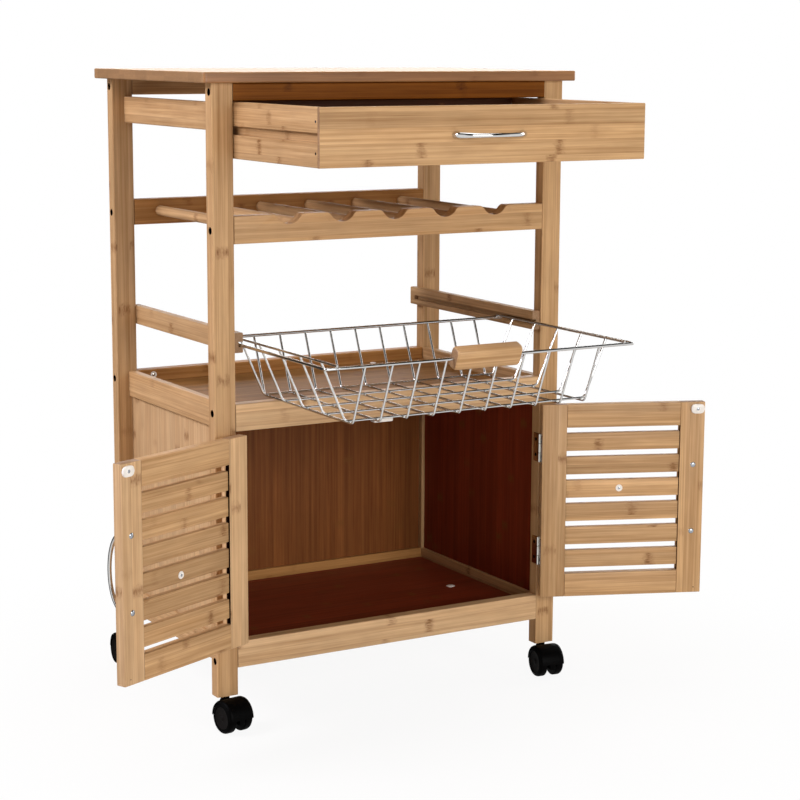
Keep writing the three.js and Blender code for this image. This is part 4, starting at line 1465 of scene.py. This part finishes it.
        # Local X runs back from the barrel, and local Z into the wood.
        turn = Matrix(((0, 0, way, 0), (1, 0, 0, 0), (0, 1, 0, 0), (0, 0, 0, 1)))
        seat = Matrix.Translation((x, start + depth / 2, rise)) @ turn
        leaf = Shape().add_plate(outline, self.leaf_thickness, seat, 0.2 * MM)
        knuckle = (self.hinge_height - 2 * self.leaf_gap) / 3
        profile = rod(self.barrel, knuckle, self.barrel_chamfer)
        near, far = sorted((x, x + way * self.leaf_thickness))
        for share in (-1, 1) if on_post else (0,):
            low = rise + share * (knuckle + self.leaf_gap) - knuckle / 2
            leaf.add_turned(profile, Matrix.Translation((0, 0, low)), 24)
            leaf.add_board((near, 0, low), (far, start + self.wrap_reach, low + knuckle), 0.15 * MM)
        tip = [(0, -0.5 * MM), (1.5 * MM, -0.5 * MM), (1.5 * MM, 0), (1.3 * MM, 0.25 * MM), (0, 0.4 * MM)]
        for end in (-1, 1) if on_post else ():
            leaf.add_turned(tip, facing((0, 0, rise + end * self.hinge_height / 2), end * UP), 16)
        key = f"{self.side}_{level}_{owner}"
        make_piece(f"butt_{key}_leaf", leaf, NICKEL_SHEET, body, [f"hinge_{key}_leaf"], place)
        y, offset = start + depth * self.leaf_screw_share, self.hinge_screw_offset
        seats = [facing((x, y, z), -way * RIGHT) for z in (rise - offset, rise + offset)]
        HINGE_SCREW.make(f"butt_screws_{key}", seats, BLACK_BOLT, body, place)

    def build(self) -> None:
        """Builds the door."""
        self.make_boards()
        self.make_handle()
        self.make_fittings()
        for level, rise in (("lower", -self.hinge_offset), ("upper", self.hinge_offset)):
            for owner in ("post", "door"):
                self.make_leaf(level, rise, owner)


# ---------------- casters
@dataclass
class Caster:
    """One twin-wheel swivel caster."""

    end: str
    side: str
    wheel_radius: float = 21 * MM
    wheel_width: float = 12.0 * MM
    wheel_spacing: float = 25.6 * MM
    inner_round: float = 1.5 * MM
    shoulder: float = 4.5 * MM
    axle_radius: float = 3 * MM
    dish_radius: float = 15.5 * MM
    dish_depth: float = 1.8 * MM
    hood_radius: float = 23.5 * MM
    hood_wall: float = 1.7 * MM
    hood_width: float = 37.4 * MM
    hood_steps: int = 28
    web: float = 7.8 * MM
    web_deg: Pair = (-20, 200)
    web_weld: float = 1 * MM
    trail: float = 18 * MM
    collar_radius: float = 5.9 * MM
    collar_foot: float = 6 * MM
    stem_radius: float = 3.9 * MM
    stem_length: float = 30 * MM
    gap: float = 0.3 * MM

    def __post_init__(self) -> None:
        """Works out where the caster stands."""
        self.key = f"{self.end}_{self.side}"
        stem = Vector(joint_named(f"caster_{self.key}_swivel")["pos_m"])
        axle = joint_named(f"wheels_{self.key}_spin")["axis"]
        self.place = Matrix.Translation(stem) @ Matrix.Rotation(math.atan2(axle[1], axle[0]), 4, "Z")
        self.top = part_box(f"post_{self.key}")[0].z - stem.z - self.gap

    def hood_section(self) -> list[Pair]:
        """Gives the section of the hood's arch, whose wall is thick in the middle and round at its rims.

        Returns:
            Radius and place along the axle of each point.
        """
        outer, inner = self.hood_radius, self.hood_radius - self.hood_wall
        half, r = self.hood_width / 2, self.shoulder
        section = [(inner, 1.4 * MM - half), (inner, half - 1.4 * MM)]
        section += [(inner + 0.4 * MM, half - 0.9 * MM), (outer - r + 0.5 * MM, half)]
        section += [(outer - r + r * math.sin(a), half - r + r * math.cos(a)) for a in quarter(6)[1:]]
        section += [(outer - r + r * math.cos(a), r - half - r * math.sin(a)) for a in quarter(6)[:-1]]
        return [*section, (outer - r + 0.5 * MM, -half), (inner + 0.4 * MM, 0.9 * MM - half)]

    def make_hood(self) -> None:
        """Makes the hood, its middle web, the collar and the stem."""
        shape = Shape()
        rings = []
        for i in range(self.hood_steps + 1):
            along, up = math.cos(math.pi * i / self.hood_steps), math.sin(math.pi * i / self.hood_steps)
            rings.append(shape.add_ring((x, y * along - self.trail, y * up) for y, x in self.hood_section()))
        shape.join(rings)
        # Local X of the outline runs back to the stem, and its Z along the axle.
        lie = Matrix(((0, 0, 1, 0), (1, 0, 0, -self.trail), (0, 1, 0, 0), (0, 0, 0, 1)))
        first, last = map(math.radians, self.web_deg)
        r = self.hood_radius - self.hood_wall + self.web_weld
        angles = (first + (last - first) * i / self.hood_steps for i in range(self.hood_steps + 1))
        disc = [Vector((r * math.cos(angle), r * math.sin(angle), 0)) for angle in angles]
        shape.add_plate(disc, self.web, lie @ Matrix.Translation((0, 0, -self.web / 2)), 0.8 * MM)
        r, s, foot, top = self.collar_radius, self.stem_radius, self.collar_foot, self.top
        end = top + self.stem_length
        profile = [(0, foot), (r + 1.6 * MM, foot), (r + 1.2 * MM, top - 7 * MM), (r, top - 4.5 * MM)]
        profile += [(r, top - 0.6 * MM), (r - 0.6 * MM, top), (s, top), (s, end - 1 * MM), (s - 1 * MM, end)]
        shape.add_turned([*profile, (0, end)], Matrix.Identity(4))
        shape.mesh.transform(self.place)
        body = f"caster_{self.key}"
        make_piece(f"{body}_hood", shape, BLACK_NYLON, body, [f"caster_hood_{self.key}"])

    def make_wheels(self) -> None:
        """Makes the tyres, the dished discs and the axle."""
        r, half, t, small, dish = (
            self.wheel_radius, self.wheel_width / 2, self.shoulder, self.inner_round, self.dish_radius
        )
        cap = half - self.dish_depth
        tyre = [(0, cap - 0.6 * MM), (dish - 0.5 * MM, cap - 0.6 * MM)]
        tyre += [(dish, half - 0.3 * MM), (dish + 0.4 * MM, half), (r - t, half)]
        tyre += [(r - t + t * math.sin(a), half - t + t * math.cos(a)) for a in quarter(5)[1:]]
        tyre += [(r - small + small * math.cos(a), small - half - small * math.sin(a)) for a in quarter(5)]
        tyre += [(0, -half)]
        disc = [(0, cap + 1.0 * MM), (2.4 * MM, cap + 0.9 * MM), (3.2 * MM, cap + 0.2 * MM)]
        disc += [(5.5 * MM, cap - 0.2 * MM), (dish * 0.8, cap + 0.2 * MM), (dish - 0.7 * MM, cap + 0.9 * MM)]
        disc += [(dish - 0.7 * MM, cap - 0.5 * MM), (0, cap - 0.5 * MM)]
        tyres, discs = Shape(), Shape()
        for sign in (-1, 1):
            at = facing((sign * self.wheel_spacing / 2, -self.trail, 0), sign * RIGHT)
            tyres.add_turned(tyre, at, 48)
            discs.add_turned(disc, at, 40)
        a, reach = self.axle_radius, self.wheel_spacing / 2 - half
        axle = [(0, -reach), (a, -reach), (a, reach), (0, reach)]
        tyres.add_turned(axle, facing((0, -self.trail, 0), RIGHT), 20)
        for part, shape, finish in (("tyres", tyres, BLACK_NYLON), ("discs", discs, GREY_DISC)):
            shape.mesh.transform(self.place)
            nodes = [f"caster_wheels_{self.key}"]
            make_piece(f"caster_{self.key}_{part}", shape, finish, f"wheels_{self.key}", nodes)

    def build(self) -> None:
        """Builds the caster."""
        self.make_hood()
        self.make_wheels()


# ---------------- studio
@dataclass(frozen=True)
class Lamp:
    """A soft rectangular lamp, with its place from the middle of the frame."""

    name: str
    offset: tuple[float, float, float]
    size: Pair
    watts: float
    colour: str = "#ffffff"


LAMPS = (
    Lamp("front", (0.05, -4.0, 1.35), (2.5, 2.0), 104),
    Lamp("left", (-2.5, 0.3, 2.3), (1.3, 1.3), 98, "#f1f1ff"),
    Lamp("right", (3.0, 0.3, 1.3), (2.0, 2.0), 36),
    Lamp("back", (1.9, 3.3, 1.2), (2.6, 0.7), 24),
    Lamp("overhead", (0.2, 0.1, 3.0), (1.8, 1.8), 34),
)


@dataclass(frozen=True)
class StudioPaper(Finish):
    """Matt paper that keeps the cart's shadow, and runs into the white backdrop far from the cart."""

    colour: str
    mirror: Pair  # how bright metal shows it, before the cart and behind it
    mirror_fade: Pair = (-0.6, 0.4)
    white: Pair = (0.92, 1.0)  # its share of plain white, near the cart and far away
    white_fade: Pair = (0.3, 0.85)

    def draw(self, add: AddNode) -> None:
        """Draws the paper.

        Args:
            add: Adds a node.
        """
        rays = add("LightPath").outputs
        place = add("TexCoord").outputs["Object"]
        reach = add("VectorMath", {0: place}, operation="LENGTH")
        (near, far), (low, high) = self.white_fade, self.white
        fade = {"Value": reach, "From Min": near, "From Max": far, "To Min": low, "To Max": high}
        white_share = add("MapRange", fade, interpolation_type="SMOOTHSTEP")
        paper = add("BsdfDiffuse", {"Color": linear(self.colour)})
        ahead = add("SeparateXYZ", {0: place}).outputs[1]
        (near, far), (bright, dark) = self.mirror_fade, self.mirror
        fade = {"Value": ahead, "From Min": near, "From Max": far, "To Min": bright, "To Max": dark}
        mirrored = add("MapRange", fade, interpolation_type="SMOOTHSTEP")
        glossy = rays["Is Glossy Ray"]
        strength = add("Mix", {"Factor": glossy, 2: 1.0, 3: mirrored})
        white = add("Emission", {"Color": WHITE, "Strength": strength})
        from_camera = add("Math", {0: rays["Is Camera Ray"], 1: white_share}, operation="MULTIPLY")
        share = add("Math", {0: from_camera, 1: glossy}, operation="MAXIMUM")
        mixed = add("MixShader", {0: share, 1: paper, 2: white})
        add("OutputMaterial", {"Surface": mixed})


# The paper looks white round the cart, and metal mirrors it bright in front and dark behind the cart.
STUDIO_PAPER = StudioPaper("matt_pale_studio_floor", "#e2ddd6", (0.95, 0.05))


@dataclass
class Studio:
    """The camera, the pale floor and the soft light."""

    camera_from_middle: tuple[float, float, float] = (-1.36564, -2.51115, 0.89094)
    heading: float = -0.5306
    tilt: float = -0.1725
    roll: float = -0.0046
    lens_mm: float = 92.474
    sensor_mm: float = 36.0
    floor_size: float = 60.0
    floor_drop: float = 0.2 * MM
    aim_height: float = 0.45
    ambient: float = 0.125
    ambient_colour: str = "#ffc792"
    ambient_low: float = 0.25  # its share from below, which grows with the height
    ambient_fade: Pair = (-0.1, 0.9)
    dark_room: float = 0.05
    dark_top: float = 0.1
    side_fade: Pair = (0.45, 0.8)
    rise_fade: Pair = (0.2, 0.55)

    def __post_init__(self) -> None:
        """Finds the middle of the frame at floor level."""
        low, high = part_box("post_front_left")[0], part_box("post_back_right")[1]
        self.middle = Vector(((low.x + high.x) / 2, (low.y + high.y) / 2, 0))

    def make_camera(self) -> None:
        """Sets the camera."""
        data = bpy.data.cameras.new("camera")
        data.sensor_width = self.sensor_mm
        data.lens = self.lens_mm
        camera = link("camera", data)
        turn = Matrix.Rotation(self.heading, 4, "Z") @ Matrix.Rotation(self.tilt, 4, "X")
        turn = turn @ Matrix.Rotation(self.roll, 4, "Y") @ Matrix.Rotation(math.pi / 2, 4, "X")
        camera.matrix_world = Matrix.Translation(self.middle + Vector(self.camera_from_middle)) @ turn
        bpy.context.scene.camera = camera

    def make_floor(self) -> None:
        """Makes the floor, which shows white and keeps a soft shadow near the cart."""
        shape = Shape()
        bmesh.ops.create_grid(shape.mesh, x_segments=2, y_segments=2, size=self.floor_size / 2)
        floor = link("floor", shape.finished("floor"))
        floor.location.z = -self.floor_drop
        floor.data.materials.append(STUDIO_PAPER.build())

    def make_world(self) -> None:
        """Makes the surroundings: white to the eye, dim as a light, and partly dark in reflections."""
        world = bpy.data.worlds.new("studio")
        bpy.context.scene.world = world
        add = emptied(world)
        rays = add("LightPath").outputs
        towards = add("SeparateXYZ", {0: add("TexCoord").outputs["Generated"]}).outputs
        # In reflections the room is bright low on both sides, and dark elsewhere.
        aside = add("Math", {0: towards[0]}, operation="ABSOLUTE")
        inner, outer = self.side_fade
        fade = {"Value": aside, "From Min": inner, "From Max": outer, "To Min": self.dark_room, "To Max": 1.0}
        side_share = add("MapRange", fade, interpolation_type="SMOOTHSTEP")
        (low, high), dark = self.rise_fade, self.dark_top
        fade = {"Value": towards[2], "From Min": low, "From Max": high, "To Min": 1.0, "To Max": dark}
        low_share = add("MapRange", fade, interpolation_type="SMOOTHSTEP")
        mirrored = add("Math", {0: side_share, 1: low_share}, operation="MULTIPLY")
        (low, high), dim = self.ambient_fade, self.ambient_low
        fade = {"Value": towards[2], "From Min": low, "From Max": high, "To Min": dim, "To Max": 1.0}
        dimmed = add("Math", {0: add("MapRange", fade), 1: self.ambient}, operation="MULTIPLY")
        ambient = add("Background", {"Color": linear(self.ambient_colour), "Strength": dimmed})
        shiny = add("Background", {"Color": WHITE, "Strength": mirrored})
        backdrop = add("Background", {"Color": WHITE, "Strength": 1.0})
        lit = add("MixShader", {0: rays["Is Glossy Ray"], 1: ambient, 2: shiny})
        seen = add("MixShader", {0: rays["Is Camera Ray"], 1: lit, 2: backdrop})
        add("OutputWorld", {"Surface": seen})

    def add_lamp(self, lamp: Lamp) -> None:
        """Adds a lamp that points at the cart.

        Args:
            lamp: The lamp.
        """
        data = bpy.data.lights.new(lamp.name, "AREA")
        data.shape = "RECTANGLE"
        data.size, data.size_y = lamp.size
        data.energy = lamp.watts
        data.color = linear(lamp.colour)[:3]
        offset = Vector(lamp.offset)
        link(lamp.name, data).matrix_world = facing(self.middle + offset, offset - self.aim_height * UP)

    def build(self) -> None:
        """Sets up the studio."""
        self.make_camera()
        self.make_floor()
        self.make_world()
        for lamp in LAMPS:
            self.add_lamp(lamp)
        bpy.context.scene.view_settings.view_transform = "Standard"


def main() -> None:
    """Builds the cart's looks in order."""
    logging.basicConfig(level=logging.INFO, format="%(name)s: %(message)s")
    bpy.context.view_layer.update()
    Studio().build()
    parts = [Carcass(), WineRack(), Drawer(), Basket()]
    parts.append(Door("left", True, plate_inset=10 * MM, screw_slat=4, washer_shift=(11 * MM, -3 * MM)))
    parts.append(Door("right", washer_shift=(-5 * MM, 0.0)))
    parts += [Caster(end, side) for end in ENDS for side in SIDES]
    for part in parts:
        part.build()


if __name__ == "__main__":
    main()
